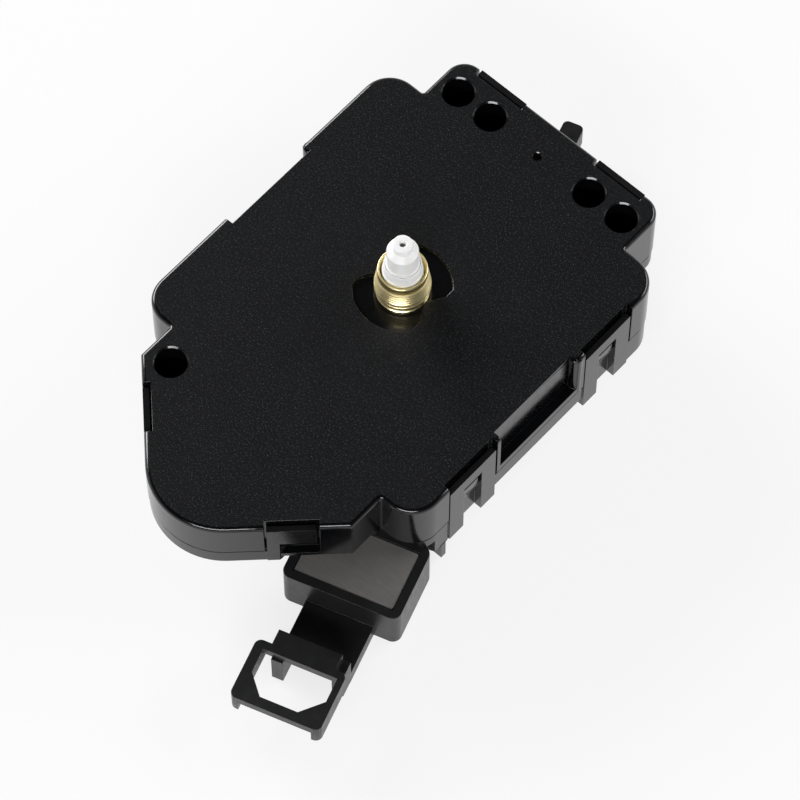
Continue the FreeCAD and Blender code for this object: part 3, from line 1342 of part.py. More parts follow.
def drive_coil():
    drop = "-" + DRIVE_COIL_DROP
    back = "-drive_coil_back"
    front = "-drive_coil_front"
    hub = rod("drive_hub", "drive_coil_hub_radius", back, front, y=drop)
    near = rod("drive_flange_front", "drive_coil_flange_radius", front + " - drive_coil_flange", front, y=drop)
    far = rod("drive_flange_back", "drive_coil_flange_radius", back, back + " + drive_coil_flange", y=drop)
    hole = rod("drive_hole", "drive_coil_core_radius + press_gap", back + " - overrun", front + " + overrun", y=drop)
    node(cut("pendulum_coil_bobbin", join("drive_solids", [hub, near, far]), [hole]), "pendulum_coil_bobbin")
    wound = rod("drive_outside", "drive_coil_winding_radius", back + " + drive_coil_flange",
                front + " - drive_coil_flange", y=drop)
    inner = rod("drive_inside", "drive_coil_hub_radius", back, front, y=drop)
    node(cut("pendulum_coil_winding", wound, [inner]), "pendulum_coil_winding")
    node(rod("pendulum_coil_core", "drive_coil_core_radius", back,
             "-face_thickness - setting_boss_floor - running_gap", y=drop), "pendulum_coil_core")


# Pendulum lever

def lever_place():
    return FreeCAD.Placement(FreeCAD.Vector(0, total_of(PIVOT_HEIGHT), 0), FreeCAD.Rotation(UP, size("lever_rest_angle")))


def frame_mouth():
    """The hook's opening: straight sides that draw in towards the far edge."""
    points = [
        (-size("mouth_left"), -total_of(MOUTH_NEAR)),
        (-size("mouth_left"), -total_of(MOUTH_CORNER)),
        (-size("mouth_far_left"), -total_of(MOUTH_FAR)),
        (size("mouth_far_right"), -total_of(MOUTH_FAR)),
        (size("mouth_right"), -total_of(MOUTH_CORNER)),
        (size("mouth_right"), -total_of(MOUTH_NEAR)),
    ]
    wire = Part.makePolygon([FreeCAD.Vector(x, y, -size("lever_back")) for x, y in points + points[:1]])
    return shaped("frame_mouth", Part.Face(wire).extrude(FreeCAD.Vector(0, 0, size("lever_back"))))


def pendulum_lever():
    box = rounded_plate("magnet_box", "-box_left", "box_right", "-" + BOX_FAR, "-" + BOX_NEAR, "-lever_back", "-box_front",
                        "box_corner")
    room = slab("box_room", "-box_left + box_wall", "box_right - box_wall", f"-{BOX_FAR} + box_wall",
                f"-{BOX_NEAR} - box_wall", "-lever_back + box_floor", "-box_front + overrun")
    hub = rod("lever_hub", "hub_radius", "-hub_back", "-hub_front")
    tail = rounded_plate("lever_tail", "-tail_left", "tail_right", "0", "tail_reach", "-hub_back", "-hub_front",
                         "tail_corner")
    arm = slab("lever_arm", "-arm_half_width", "arm_half_width", f"-{BOX_NEAR} - box_wall * 0.5", "0", "-arm_back",
               "-arm_front")
    strip = slab("lever_strip", "-strip_left", "strip_right", "-" + STRIP_FAR, f"-{BOX_FAR} + box_wall * 0.5",
                 "-lever_back", "-strip_front")
    plate = rounded_plate("hook_plate", "-frame_left", "frame_right", "-" + FRAME_FAR, "-" + FRAME_NEAR,
                          "-frame_front - frame_skirt_depth", "-frame_front", "frame_corner")
    hollow = slab("hook_hollow", "-frame_left + frame_skirt_wall", "frame_right - frame_skirt_wall",
                  f"-{FRAME_FAR} - overrun", f"-{FRAME_NEAR} + overrun",
                  "-frame_front - frame_skirt_depth - overrun", "-frame_front - frame_thickness")
    step = slab("hook_step", "-frame_step_left", "frame_step_right", f"-{FRAME_NEAR} - frame_corner",
                "-" + STEP_NEAR, "-frame_front - frame_thickness", "-frame_front")
    rails = []
    for name, left, right, far in (("left", "-strip_left", "-strip_left + rail_width", RAIL_FAR),
                                   ("right", "strip_right - rail_width", "strip_right", RAIL_NEAR)):
        rails.append(slab("rail_" + name, left, right, "-" + far, "-" + STEP_NEAR, "-rail_back",
                          "-frame_front - frame_thickness"))
    opened = cut("hook_open", join("hook_top", [cut("hook_shell", plate, [hollow]), step]), [frame_mouth()])
    whole = join("lever_solids", [cut("magnet_box_open", box, [room]), hub, tail, arm, strip, opened] + rails)
    hole = rod("lever_hole", "pivot_pin_radius + running_gap", "-lever_back", "0")
    node(cut("pendulum_lever", whole, [hole]), "pendulum_lever", lever_place())


def boxed_plate(name, gap, back, front):
    """A plate that drops into the magnet box with a gap all round."""
    return rounded_plate(name, f"-box_left + box_wall + {gap}", f"box_right - box_wall - {gap}",
                         f"-{BOX_FAR} + box_wall + {gap}", f"-{BOX_NEAR} - box_wall - {gap}", back, front, "lid_thickness")


def lever_magnet():
    node(boxed_plate("lever_magnet", "magnet_gap", "-lever_back + box_floor",
                     "-box_front - lid_depth - lid_thickness"), "lever_magnet", lever_place())


def magnet_lid():
    node(boxed_plate("magnet_lid", "lid_gap", "-box_front - lid_depth - lid_thickness",
                     "-box_front - lid_depth"), "magnet_lid", lever_place())


def pivot_pin():
    node(rod("lever_pivot_pin", "pivot_pin_radius", "-pivot_pin_back", "-pivot_pin_front", y=PIVOT_HEIGHT),
         "lever_pivot_pin")
    ring = rod("clip_ring", "clip_radius", "-clip_front - clip_thickness", "-clip_front", y=PIVOT_HEIGHT)
    hole = rod("clip_hole", "pivot_pin_radius + press_gap", "-pivot_pin_back - overrun", "0", y=PIVOT_HEIGHT)
    node(cut("lever_clip", ring, [hole]), "lever_clip")


for build in (front_case, rear_cover, threaded_bush, hour_wheel, minute_tube, seconds_arbor, centre_wheel,
              seconds_wheel, third_wheel, third_pinion, intermediate_wheel, rotor_pinion, rotor_magnet,
              reversing_wheel, setting_gear, setting_knob, gear_plate, motor_stator, motor_core, motor_bobbin,
              motor_winding, circuit_board, battery_contacts, drive_coil, pendulum_lever, lever_magnet,
              magnet_lid, pivot_pin):
    build()
doc.recompute()

for item in doc.Objects:
    if "Invalid" in item.State or "Error" in item.State:
        raise RuntimeError("failed object: " + item.Label)

os.makedirs("parts", exist_ok=True)
for piece in made:
    if piece.Shape.isNull() or not piece.Shape.isValid():
        raise RuntimeError("bad shape: " + piece.Label)
    print(piece.Label, len(piece.Shape.Solids), round(piece.Shape.Volume, 3))
    piece.Shape.exportStep(os.path.join("parts", piece.Label + ".step"))
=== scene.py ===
import json
import math

import bmesh
import bpy
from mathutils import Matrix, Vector

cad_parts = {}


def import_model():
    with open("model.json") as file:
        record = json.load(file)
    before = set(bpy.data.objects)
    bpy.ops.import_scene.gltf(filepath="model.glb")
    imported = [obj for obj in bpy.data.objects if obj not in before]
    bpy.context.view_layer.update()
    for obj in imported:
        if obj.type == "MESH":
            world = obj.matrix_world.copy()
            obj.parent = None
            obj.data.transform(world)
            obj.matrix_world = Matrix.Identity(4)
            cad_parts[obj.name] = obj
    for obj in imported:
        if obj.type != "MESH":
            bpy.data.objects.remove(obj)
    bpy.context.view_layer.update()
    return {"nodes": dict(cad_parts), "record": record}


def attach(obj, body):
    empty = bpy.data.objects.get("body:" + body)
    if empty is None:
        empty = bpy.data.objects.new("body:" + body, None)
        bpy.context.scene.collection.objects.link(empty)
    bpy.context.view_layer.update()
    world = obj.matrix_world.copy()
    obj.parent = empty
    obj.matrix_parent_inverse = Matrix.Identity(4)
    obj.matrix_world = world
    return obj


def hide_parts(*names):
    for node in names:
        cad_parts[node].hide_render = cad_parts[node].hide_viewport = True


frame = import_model()

MM = 0.001
NODES = frame["nodes"]

# The bush in millimetres above the dial face, from its flange up to its rim
FLANGE_RADIUS = 5.4
FLANGE_BACK = -1.9
FACE_BACK = -1.6
BUSH_SEAT = 3.8
BUSH_BORE = 3.0
BUSH_NECK = 3.5
BUSH_TOP = 5.2
BUSH_RIM = 3.2
BUSH_RIM_FLOOR = 4.0
UNDERCUT_RADIUS = 3.66
UNDERCUT_TOP = 0.5
BEAD_RADIUS = 3.97
BEAD_TOP = 0.9
BEAD_INSET = 0.08
BEAD_RISE = 0.03
BEAD_ROUND = 0.12
BEAD_TOP_INSET = 0.1
CORE_RISE = 0.04
CORE_INSET = 0.03
NECK_RISE = 0.03
NECK_ROUND = 0.14
NECK_INSET = 0.04
NECK_CHAMFER = 0.12
RIM_CHAMFER = 0.08
BUSH_STEPS = 128
BUSH_NORMAL_WEIGHT = 60

# The bush's thread in millimetres, and its profile in shares of the pitch
THREAD_RADIUS = 4.0
THREAD_TIP_RADIUS = 3.66
THREAD_ROOT = 3.45
THREAD_PITCH = 0.48
THREAD_LOW = 0.95
THREAD_HIGH = 3.95
THREAD_TAPER_START = 1.3
THREAD_STEPS = 96
FLANK_SHARES = (0.12, 0.32)
FAR_FLANK_SHARES = (0.68, 0.88)
FADE_SHARE = 0.5

# Edge rounding in metres
SOFT_EDGES = {
    "front_case": 0.00008,
    "rear_cover": 0.00008,
    "pendulum_lever": 0.00005,
    "hour_wheel": 0.00006,
    "minute_tube": 0.0001,
    "magnet_lid": 0.00005,
    "setting_knob": 0.00015,
}
WELD_DISTANCE = 0.000002
ROUND_SEGMENTS = 3
ROUND_ANGLE = math.radians(50.0)
CRISP_ANGLE = math.radians(40.0)
STRONGEST_FACES = 100

# Surface values shared by several materials
NOISE_LOW = 0.3
NOISE_HIGH = 0.7
PLASTIC_IOR = 1.53
LEVER_TURN = math.radians(18.3)

# Camera, in degrees and millimetres
CAMERA_AZIMUTH = 42.169
CAMERA_ELEVATION = 62.599
CAMERA_DISTANCE = 607.573
CAMERA_TARGET = (11.548, -13.291, 0.0)
CAMERA_LENS = 200.86
CAMERA_SENSOR = 36.0
CAMERA_NEAR_M = 0.01
CAMERA_FAR_M = 20.0

# Floor
FLOOR_Z = -19.9
FLOOR_GAP_M = 0.00002
FLOOR_HALF_M = 4.0
FLOOR_COLOUR = (0.9, 0.9, 0.9, 1.0)
FLOOR_GLOW = (1.0, 1.0, 1.0, 1.0)
FLOOR_GLOW_SHARE = 0.8
FLOOR_GLOSSY_SHARE = 0.7

# Sky: white at the horizon, dark overhead, and dimmer on the near side
SKY_STOPS = (
    (0.0, (1.0, 1.0, 1.0)),
    (0.35, (0.5, 0.5, 0.5)),
    (0.62, (0.04, 0.04, 0.04)),
)
SKY_FAR_ALONG = 0.74
SKY_FAR_ACROSS = 0.67
SKY_HALF_WIDTH = 0.5
SKY_NEAR_LEVEL = 0.2
SKY_FAR_LEVEL = 1.0

# Lamps: place in millimetres, size in metres, power in watts
LAMPS = (
    {"name": "key", "place": (-860, 60, 380), "size": (0.7, 0.3), "power": 8.7},
    {"name": "front", "place": (420, -760, 540), "size": (0.8, 0.22), "power": 6.9},
    {"name": "back", "place": (420, 780, 460), "size": (0.8, 0.3), "power": 4.6},
)


# Node graph helpers

def new_material(name):
    mat = bpy.data.materials.new(name)
    mat.use_nodes = True
    nodes = mat.node_tree.nodes
    nodes.clear()
    out = nodes.new("ShaderNodeOutputMaterial")
    shader = nodes.new("ShaderNodeBsdfPrincipled")
    mat.node_tree.links.new(shader.outputs[0], out.inputs[0])
    return mat, mat.node_tree, shader


def link(tree, source, target):
    tree.links.new(source, target)


def math_node(tree, operation, first, second, clamp=False):
    node = tree.nodes.new("ShaderNodeMath")
    node.operation = operation
    node.use_clamp = clamp
    for socket, value in zip(node.inputs, (first, second)):
        if isinstance(value, float):
            socket.default_value = value
        else:
            link(tree, value, socket)
    return node.outputs[0]


def place(tree, stretch=(1, 1, 1), turn=(0, 0, 0)):
    coords = tree.nodes.new("ShaderNodeTexCoord")
    mapping = tree.nodes.new("ShaderNodeMapping")
    mapping.inputs["Scale"].default_value = stretch
    mapping.inputs["Rotation"].default_value = turn
    link(tree, coords.outputs["Object"], mapping.inputs["Vector"])
    return mapping.outputs[0]


def noise(tree, where, scale, detail=3.0, roughness=0.5):
    node = tree.nodes.new("ShaderNodeTexNoise")
    node.inputs["Scale"].default_value = scale
    node.inputs["Detail"].default_value = detail
    node.inputs["Roughness"].default_value = roughness
    link(tree, where, node.inputs["Vector"])
    return node.outputs["Fac"]


def spread(tree, value, low, high, out_low=0.0, out_high=1.0):
    node = tree.nodes.new("ShaderNodeMapRange")
    node.clamp = True
    link(tree, value, node.inputs["Value"])
    node.inputs["From Min"].default_value = low
    node.inputs["From Max"].default_value = high
    node.inputs["To Min"].default_value = out_low
    node.inputs["To Max"].default_value = out_high
    return node.outputs["Result"]


def colours(tree, value, *stops):
    node = tree.nodes.new("ShaderNodeValToRGB")
    ramp = node.color_ramp
    middle = 0.5
    while len(ramp.elements) < len(stops):
        ramp.elements.new(middle)
    for element, (position, colour) in zip(ramp.elements, stops):
        element.position = position
        element.color = (*colour, 1.0)
    link(tree, value, node.inputs["Fac"])
    return node.outputs["Color"]


def clouded(tree, value, dark, light):
    return colours(tree, value, (NOISE_LOW, dark), (NOISE_HIGH, light))


def roughness_of(tree, value, rough):
    low, high = rough
    return spread(tree, value, NOISE_LOW, NOISE_HIGH, low, high)


def bump(tree, shader, height, depth, strength):
    node = tree.nodes.new("ShaderNodeBump")
    node.inputs["Strength"].default_value = strength
    node.inputs["Distance"].default_value = depth
    link(tree, height, node.inputs["Height"])
    link(tree, node.outputs[0], shader.inputs["Normal"])


def split(tree, vector):
    node = tree.nodes.new("ShaderNodeSeparateXYZ")
    link(tree, vector, node.inputs[0])
    return node.outputs


def colour_mix(tree, blend_type="MIX"):
    node = tree.nodes.new("ShaderNodeMix")
    node.data_type = "RGBA"
    node.blend_type = blend_type
    return node


# Materials

def dial_face_mask(tree, here):
    """One on the level dial face, zero on the sides and in the recesses."""
    coords = tree.nodes.new("ShaderNodeTexCoord")
    height = split(tree, here)[2]
    facing = split(tree, coords.outputs["Normal"])[2]
    at_face = spread(tree, height, low=-0.00009, high=-0.00003)
    level = spread(tree, facing, low=0.97, high=0.995)
    return math_node(tree, "MULTIPLY", at_face, level)


def case_colour(tree, here, matt):
    """Black with faint clouds, and pale specks painted on the matt face as glints of its spark-eroded grain."""
    cloud = noise(tree, here, scale=160.0)
    # Painted glints: pale specks on the matt face stand in for light glinting off the grain
    glint_grains = noise(tree, here, scale=4200.0, roughness=0.7)
    glint_speck = math_node(tree, "MULTIPLY", spread(tree, glint_grains, low=0.55, high=0.7), matt)
    glint_speck_share = 0.8
    mix = colour_mix(tree)
    link(tree, math_node(tree, "MULTIPLY", glint_speck, glint_speck_share), mix.inputs["Factor"])
    black = clouded(tree, cloud, dark=(0.0018, 0.002, 0.0026), light=(0.003, 0.0033, 0.004))
    link(tree, black, mix.inputs["A"])
    # The pale speck colour is a painted glint
    mix.inputs["B"].default_value = (0.065, 0.07, 0.078, 1.0)
    return mix.outputs["Result"]


def case_roughness(tree, here, grain, matt):
    pick = tree.nodes.new("ShaderNodeMix")
    link(tree, matt, pick.inputs[0])
    link(tree, roughness_of(tree, noise(tree, here, scale=900.0), rough=(0.13, 0.2)), pick.inputs[2])
    link(tree, roughness_of(tree, grain, rough=(0.3, 0.4)), pick.inputs[3])
    return pick.outputs[0]


def case_material():
    """Black moulding: a spark-eroded matt dial face between glossy sides."""
    mat, tree, shader = new_material("case_black")
    here = place(tree)
    matt = dial_face_mask(tree, here)
    grain = noise(tree, here, scale=5200.0, detail=2.0, roughness=0.6)
    link(tree, case_colour(tree, here, matt), shader.inputs["Base Color"])
    link(tree, case_roughness(tree, here, grain, matt), shader.inputs["Roughness"])
    shader.inputs["IOR"].default_value = PLASTIC_IOR
    wave_share = 0.12
    fine = math_node(tree, "MULTIPLY", grain, matt)
    wave = math_node(tree, "MULTIPLY", noise(tree, here, scale=260.0, detail=2.0), wave_share)
    bump(tree, shader, math_node(tree, "ADD", fine, wave), depth=0.00001, strength=0.6)
    return mat


def gloss_black(name, dark, light, rough, grain_scale, depth):
    mat, tree, shader = new_material(name)
    here = place(tree)
    cloud = noise(tree, here, scale=220.0)
    link(tree, clouded(tree, cloud, dark, light), shader.inputs["Base Color"])
    link(tree, roughness_of(tree, noise(tree, here, scale=1100.0), rough), shader.inputs["Roughness"])
    shader.inputs["IOR"].default_value = PLASTIC_IOR
    bump(tree, shader, noise(tree, here, grain_scale, detail=1.0), depth, strength=0.2)
    return mat


def brass_material():
    """Turned brass, its marks running round the axis."""
    mat, tree, shader = new_material("brass_turned")
    marks = noise(tree, place(tree, stretch=(1, 1, 14)), scale=900.0, detail=4.0, roughness=0.65)
    tint = clouded(tree, marks, dark=(0.93, 0.76, 0.38), light=(1.0, 0.88, 0.5))
    link(tree, tint, shader.inputs["Base Color"])
    shader.inputs["Metallic"].default_value = 1.0
    link(tree, roughness_of(tree, marks, rough=(0.27, 0.36)), shader.inputs["Roughness"])
    bump(tree, shader, marks, depth=0.000005, strength=0.3)
    return mat


def white_material():
    """Natural white plastic, slightly translucent."""
    mat, tree, shader = new_material("natural_plastic")
    here = place(tree)
    cloud = noise(tree, here, scale=300.0)
    tint = clouded(tree, cloud, dark=(0.95, 0.955, 0.945), light=(0.98, 0.98, 0.965))
    link(tree, tint, shader.inputs["Base Color"])
    shader.inputs["Subsurface Weight"].default_value = 0.35
    shader.inputs["Subsurface Radius"].default_value = (1.0, 0.9, 0.75)
    shader.inputs["Subsurface Scale"].default_value = 0.0012
    link(tree, roughness_of(tree, cloud, rough=(0.28, 0.38)), shader.inputs["Roughness"])
    bump(tree, shader, noise(tree, here, scale=2600.0, detail=2.0), depth=0.000005, strength=0.4)
    return mat


def lid_material():
    """Brushed strip steel, its grain across the lever."""
    mat, tree, shader = new_material("lid_brushed")
    brushed = place(tree, stretch=(1, 26, 1), turn=(0, 0, -LEVER_TURN))
    lines = noise(tree, brushed, scale=420.0, detail=5.0, roughness=0.7)
    cloud = noise(tree, place(tree), scale=150.0, detail=2.0)
    line_share = 0.75
    cloud_share = 0.25
    line_part = math_node(tree, "MULTIPLY", lines, line_share)
    cloud_part = math_node(tree, "MULTIPLY", cloud, cloud_share)
    blend = math_node(tree, "ADD", line_part, cloud_part)
    tint = colours(tree, blend, (0.32, (0.4, 0.385, 0.375)), (0.68, (0.56, 0.535, 0.52)))
    link(tree, tint, shader.inputs["Base Color"])
    shader.inputs["Metallic"].default_value = 0.75
    link(tree, roughness_of(tree, lines, rough=(0.36, 0.5)), shader.inputs["Roughness"])
    bump(tree, shader, lines, depth=0.00001, strength=0.5)
    return mat


def grained_material(name, dark, light, rough, scale, depth, stretch=(1, 1, 1), metallic=0.0, detail=4.0,
                     roughness=0.6):
    """One noise for the colour, the roughness and the relief."""
    mat, tree, shader = new_material(name)
    marks = noise(tree, place(tree, stretch), scale, detail, roughness)
    link(tree, clouded(tree, marks, dark, light), shader.inputs["Base Color"])
    shader.inputs["Metallic"].default_value = metallic
    link(tree, roughness_of(tree, marks, rough), shader.inputs["Roughness"])
    bump(tree, shader, marks, depth, strength=0.5)
    return mat


CASE = case_material()
COVER = gloss_black("cover_black", dark=(0.007, 0.0072, 0.0078), light=(0.011, 0.0112, 0.012),
                    rough=(0.14, 0.22), grain_scale=900.0, depth=0.000002)
LEVER = gloss_black("lever_black", dark=(0.011, 0.0112, 0.012), light=(0.016, 0.0163, 0.017),
                    rough=(0.28, 0.38), grain_scale=400.0, depth=0.000001)
BRASS = brass_material()
WHITE = white_material()
STEEL = grained_material("steel_drawn", dark=(0.42, 0.42, 0.43), light=(0.6, 0.6, 0.61), rough=(0.22, 0.36),
                         scale=700.0, depth=0.000008, stretch=(1, 1, 20), metallic=1.0)
LID = lid_material()
SPRING = grained_material("spring_plated", dark=(0.62, 0.62, 0.6), light=(0.8, 0.8, 0.78), rough=(0.12, 0.24),
                          scale=500.0, depth=0.000006, stretch=(1, 6, 1), metallic=1.0)
MAGNET = grained_material("magnet_sintered", dark=(0.05, 0.048, 0.047), light=(0.1, 0.098, 0.095),
                          rough=(0.4, 0.6), scale=1500.0, depth=0.00002)
COPPER = grained_material("wire_enamelled", dark=(0.5, 0.19, 0.07), light=(0.68, 0.3, 0.13), rough=(0.24, 0.34),
                          scale=600.0, depth=0.00002, metallic=0.85, detail=3.0, roughness=0.5)
BOARD = grained_material("board_laminate", dark=(0.33, 0.22, 0.09), light=(0.45, 0.32, 0.15),
                         rough=(0.4, 0.55), scale=420.0, depth=0.00001)
CHIP = grained_material("chip_moulded", dark=(0.012, 0.012, 0.013), light=(0.022, 0.022, 0.024),
                        rough=(0.45, 0.6), scale=1800.0, depth=0.00001)

FINISHES = {
    "black_case": COVER,
    "brass": BRASS,
    "white_plastic": WHITE,
    "steel": STEEL,
    "lid_steel": LID,
    "magnet": MAGNET,
    "copper": COPPER,
    "board": BOARD,
    "chip": CHIP,
    "spring_metal": SPRING,
}
SPECIAL = {"front_case": CASE, "pendulum_lever": LEVER}


# Mesh helpers

def show(obj):
    bpy.context.scene.collection.objects.link(obj)


def finished(name, mesh, material, body):
    obj = bpy.data.objects.new(name, mesh)
    show(obj)
    mesh.materials.append(material)
    for face in mesh.polygons:
        face.use_smooth = True
    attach(obj, body)
    return obj


def soften(obj, width):
    """Rounds the sharp edges and keeps the flat faces flat in the shading."""
    weld = obj.modifiers.new("weld", "WELD")
    weld.merge_threshold = WELD_DISTANCE
    round_edges = obj.modifiers.new("round_edges", "BEVEL")
    round_edges.width = width
    round_edges.segments = ROUND_SEGMENTS
    round_edges.limit_method = "ANGLE"
    round_edges.angle_limit = ROUND_ANGLE
    round_edges.use_clamp_overlap = False
    round_edges.harden_normals = False
    round_edges.face_strength_mode = "FSTR_AFFECTED"
    parted = obj.modifiers.new("crisp_edges", "EDGE_SPLIT")
    parted.split_angle = CRISP_ANGLE
    parted.use_edge_sharp = False
    even = obj.modifiers.new("even_normals", "WEIGHTED_NORMAL")
    even.mode = "FACE_AREA"
    even.weight = STRONGEST_FACES
    even.keep_sharp = False
    even.use_face_influence = True


def round_point(radius, angle, height):
    """A point in metres from a radius and a height in millimetres."""
    return (radius * math.cos(angle) * MM, radius * math.sin(angle) * MM, height * MM)


def lathe(bm, profile, steps):
    """A ring of revolution about Z from (radius, height) pairs in millimetres."""
    rows = []
    for step in range(steps):
        angle = 2 * math.pi * step / steps
        rows.append([bm.verts.new(round_point(radius, angle, height)) for radius, height in profile])
    count = len(profile)
    for step in range(steps):
        here = rows[step]
        after = rows[(step + 1) % steps]
        for index in range(count):
            other = (index + 1) % count
            bm.faces.new((here[index], after[index], after[other], here[other]))


def thread_reach(height, is_crest):
    """How far the thread stands off its root: less toward the tip, and none at both ends."""
    if not is_crest:
        return 0.0
    fade_length = FADE_SHARE * THREAD_PITCH
    fade_in = max(0.0, (height - THREAD_LOW) / fade_length)
    fade_out = max(0.0, (THREAD_HIGH - height) / fade_length)
    fade = min(1.0, fade_in, fade_out)
    along = max(0.0, (height - THREAD_TAPER_START) / (THREAD_HIGH - THREAD_TAPER_START))
    narrowing = (THREAD_RADIUS - THREAD_TIP_RADIUS) * along
    return max(0.0, THREAD_RADIUS - THREAD_ROOT - narrowing) * fade


def thread_rows(bm, outline, count):
    """The thread's profile, set along the helix one step after the other."""
    rows = []
    for step in range(count):
        angle = 2 * math.pi * step / THREAD_STEPS
        start = THREAD_LOW - THREAD_PITCH + THREAD_PITCH * step / THREAD_STEPS
        row = []
        for share, is_crest in outline:
            height = start + share * THREAD_PITCH
            held = min(max(height, THREAD_LOW), THREAD_HIGH)
            radius = THREAD_ROOT + thread_reach(height, is_crest)
            row.append(bm.verts.new(round_point(radius, angle, held)))
        rows.append(row)
    return rows


def helix_thread(bm):
    """One continuous screw thread, narrower toward its tip, whose ends fade into the core."""
    outline = [(0.0, False)]
    outline += [(share, is_crest) for share, is_crest in zip(FLANK_SHARES, (False, True))]
    outline += [(share, is_crest) for share, is_crest in zip(FAR_FLANK_SHARES, (True, False))]
    turns = (THREAD_HIGH - THREAD_LOW) / THREAD_PITCH + 1.0
    rows = thread_rows(bm, outline, int(turns * THREAD_STEPS) + THREAD_STEPS + 1)
    last = len(rows) - 1
    for step in range(last):
        here = rows[step]
        after = rows[step + 1]
        for index in range(len(outline) - 1):
            bm.faces.new((here[index], after[index], after[index + 1], here[index + 1]))
        if step + THREAD_STEPS + 1 <= last:
            above = rows[step + THREAD_STEPS]
            above_after = rows[step + THREAD_STEPS + 1]
            bm.faces.new((here[-1], after[-1], above_after[0], above[0]))


# The threaded bush, with its turns

def bush_profile():
    """Outside first, up from the seat, then the rim, the bore and the flange."""
    core = THREAD_ROOT - CORE_INSET
    return [
        (BUSH_SEAT, -UNDERCUT_TOP),
        (UNDERCUT_RADIUS, -UNDERCUT_TOP),
        (UNDERCUT_RADIUS, UNDERCUT_TOP),
        (BEAD_RADIUS - BEAD_INSET, UNDERCUT_TOP + BEAD_RISE),
        (BEAD_RADIUS, UNDERCUT_TOP + BEAD_ROUND),
        (BEAD_RADIUS, BEAD_TOP - BEAD_ROUND),
        (BEAD_RADIUS - BEAD_TOP_INSET, BEAD_TOP),
        (core, BEAD_TOP + CORE_RISE),
        (core, THREAD_HIGH),
        (BUSH_NECK, THREAD_HIGH + NECK_RISE),
        (BUSH_NECK, BUSH_TOP - NECK_ROUND),
        (BUSH_NECK - NECK_INSET, BUSH_TOP - NECK_INSET),
        (BUSH_NECK - NECK_CHAMFER, BUSH_TOP),
        (BUSH_RIM + RIM_CHAMFER, BUSH_TOP),
        (BUSH_RIM, BUSH_TOP - RIM_CHAMFER),
        (BUSH_RIM, BUSH_RIM_FLOOR),
        (BUSH_BORE, BUSH_RIM_FLOOR),
        (BUSH_BORE, FLANGE_BACK),
        (FLANGE_RADIUS, FLANGE_BACK),
        (FLANGE_RADIUS, FACE_BACK),
        (BUSH_SEAT, FACE_BACK),
    ]


def bush():
    bm = bmesh.new()
    lathe(bm, bush_profile(), BUSH_STEPS)
    helix_thread(bm)
    bmesh.ops.recalc_face_normals(bm, faces=bm.faces)
    mesh = bpy.data.meshes.new("bush_turned")
    bm.to_mesh(mesh)
    bm.free()
    obj = finished("bush_turned", mesh, BRASS, "case")
    even = obj.modifiers.new("even_normals", "WEIGHTED_NORMAL")
    even.weight = BUSH_NORMAL_WEIGHT
    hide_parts("threaded_bush")


# Camera, floor and light

def camera():
    azimuth = math.radians(CAMERA_AZIMUTH)
    elevation = math.radians(CAMERA_ELEVATION)
    away = Vector((
        math.cos(elevation) * math.sin(azimuth),
        -math.cos(elevation) * math.cos(azimuth),
        math.sin(elevation),
    ))
    data = bpy.data.cameras.new("camera")
    data.lens = CAMERA_LENS
    data.sensor_width = CAMERA_SENSOR
    data.clip_start = CAMERA_NEAR_M
    data.clip_end = CAMERA_FAR_M
    obj = bpy.data.objects.new("camera", data)
    obj.location = Vector(CAMERA_TARGET) * MM + away * CAMERA_DISTANCE * MM
    obj.rotation_euler = away.to_track_quat("Z", "Y").to_euler()
    show(obj)
    bpy.context.scene.camera = obj


def floor_material():
    """Pale and plain, and white where the camera, a gloss or a clear piece looks at it."""
    mat = bpy.data.materials.new("floor")
    mat.use_nodes = True
    tree = mat.node_tree
    tree.nodes.clear()
    out = tree.nodes.new("ShaderNodeOutputMaterial")
    diffuse = tree.nodes.new("ShaderNodeBsdfDiffuse")
    diffuse.inputs["Color"].default_value = FLOOR_COLOUR
    glow = tree.nodes.new("ShaderNodeEmission")
    glow.inputs["Color"].default_value = FLOOR_GLOW
    glow.inputs["Strength"].default_value = 1.0
    path = tree.nodes.new("ShaderNodeLightPath")
    direct = math_node(tree, "MAXIMUM", path.outputs["Is Camera Ray"], path.outputs["Is Transmission Ray"])
    glossy = math_node(tree, "MULTIPLY", path.outputs["Is Glossy Ray"], FLOOR_GLOSSY_SHARE)
    seen = math_node(tree, "ADD", direct, glossy, clamp=True)
    mix = tree.nodes.new("ShaderNodeMixShader")
    link(tree, math_node(tree, "MULTIPLY", seen, FLOOR_GLOW_SHARE), mix.inputs[0])
    link(tree, diffuse.outputs[0], mix.inputs[1])
    link(tree, glow.outputs[0], mix.inputs[2])
    link(tree, mix.outputs[0], out.inputs[0])
    return mat


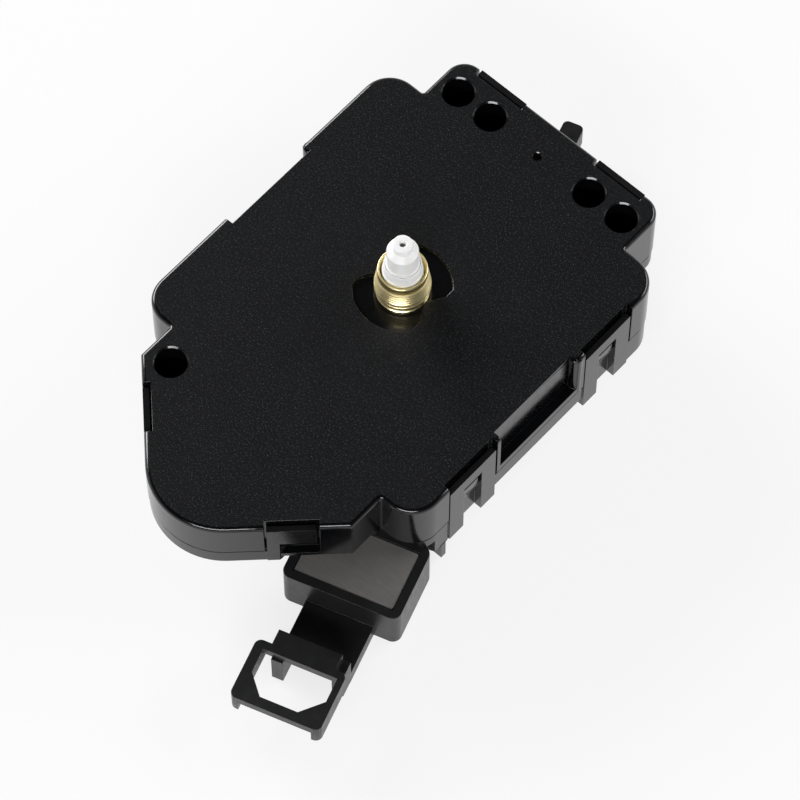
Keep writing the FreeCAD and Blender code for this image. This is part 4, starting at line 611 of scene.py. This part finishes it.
def floor():
    mesh = bpy.data.meshes.new("floor")
    z = FLOOR_Z * MM - FLOOR_GAP_M
    corners = [
        (-FLOOR_HALF_M, -FLOOR_HALF_M, z),
        (FLOOR_HALF_M, -FLOOR_HALF_M, z),
        (FLOOR_HALF_M, FLOOR_HALF_M, z),
        (-FLOOR_HALF_M, FLOOR_HALF_M, z),
    ]
    mesh.from_pydata(corners, [], [tuple(range(len(corners)))])
    obj = bpy.data.objects.new("floor", mesh)
    show(obj)
    mesh.materials.append(floor_material())


def world():
    sky = bpy.data.worlds.new("studio")
    bpy.context.scene.world = sky
    sky.use_nodes = True
    tree = sky.node_tree
    tree.nodes.clear()
    out = tree.nodes.new("ShaderNodeOutputWorld")
    back = tree.nodes.new("ShaderNodeBackground")
    coords = tree.nodes.new("ShaderNodeTexCoord")
    across, along, up = split(tree, coords.outputs["Generated"])
    far_along = math_node(tree, "MULTIPLY", along, SKY_FAR_ALONG)
    far_across = math_node(tree, "MULTIPLY", across, SKY_FAR_ACROSS)
    far = math_node(tree, "SUBTRACT", far_along, far_across)
    lit = spread(tree, far, -SKY_HALF_WIDTH, SKY_HALF_WIDTH, SKY_NEAR_LEVEL, SKY_FAR_LEVEL)
    mix = colour_mix(tree, "MULTIPLY")
    mix.inputs["Factor"].default_value = 1.0
    link(tree, colours(tree, up, *SKY_STOPS), mix.inputs["A"])
    link(tree, lit, mix.inputs["B"])
    link(tree, mix.outputs["Result"], back.inputs["Color"])
    back.inputs["Strength"].default_value = 1.0
    link(tree, back.outputs[0], out.inputs[0])


def lamp(setting):
    """A soft area lamp, turned to the dial's centre."""
    data = bpy.data.lights.new(setting["name"], "AREA")
    data.shape = "RECTANGLE"
    data.size, data.size_y = setting["size"]
    data.energy = setting["power"]
    obj = bpy.data.objects.new(setting["name"], data)
    obj.location = Vector(setting["place"]) * MM
    toward = -obj.location
    obj.rotation_euler = toward.to_track_quat("-Z", "Y").to_euler()
    show(obj)


def dress_nodes():
    """Every carried-over node gets its finish."""
    slots = {entry["node"]: entry["material_slot"] for entry in frame["record"]["subparts"]}
    for name, obj in NODES.items():
        finish = SPECIAL.get(name, FINISHES[slots[name]])
        for slot in obj.material_slots:
            slot.link = "OBJECT"
            slot.material = finish


# Build

bpy.context.scene.view_settings.view_transform = "Standard"
camera()
floor()
world()
for lamp_setting in LAMPS:
    lamp(lamp_setting)
dress_nodes()
for node_name, edge_width in SOFT_EDGES.items():
    soften(NODES[node_name], edge_width)
bush()
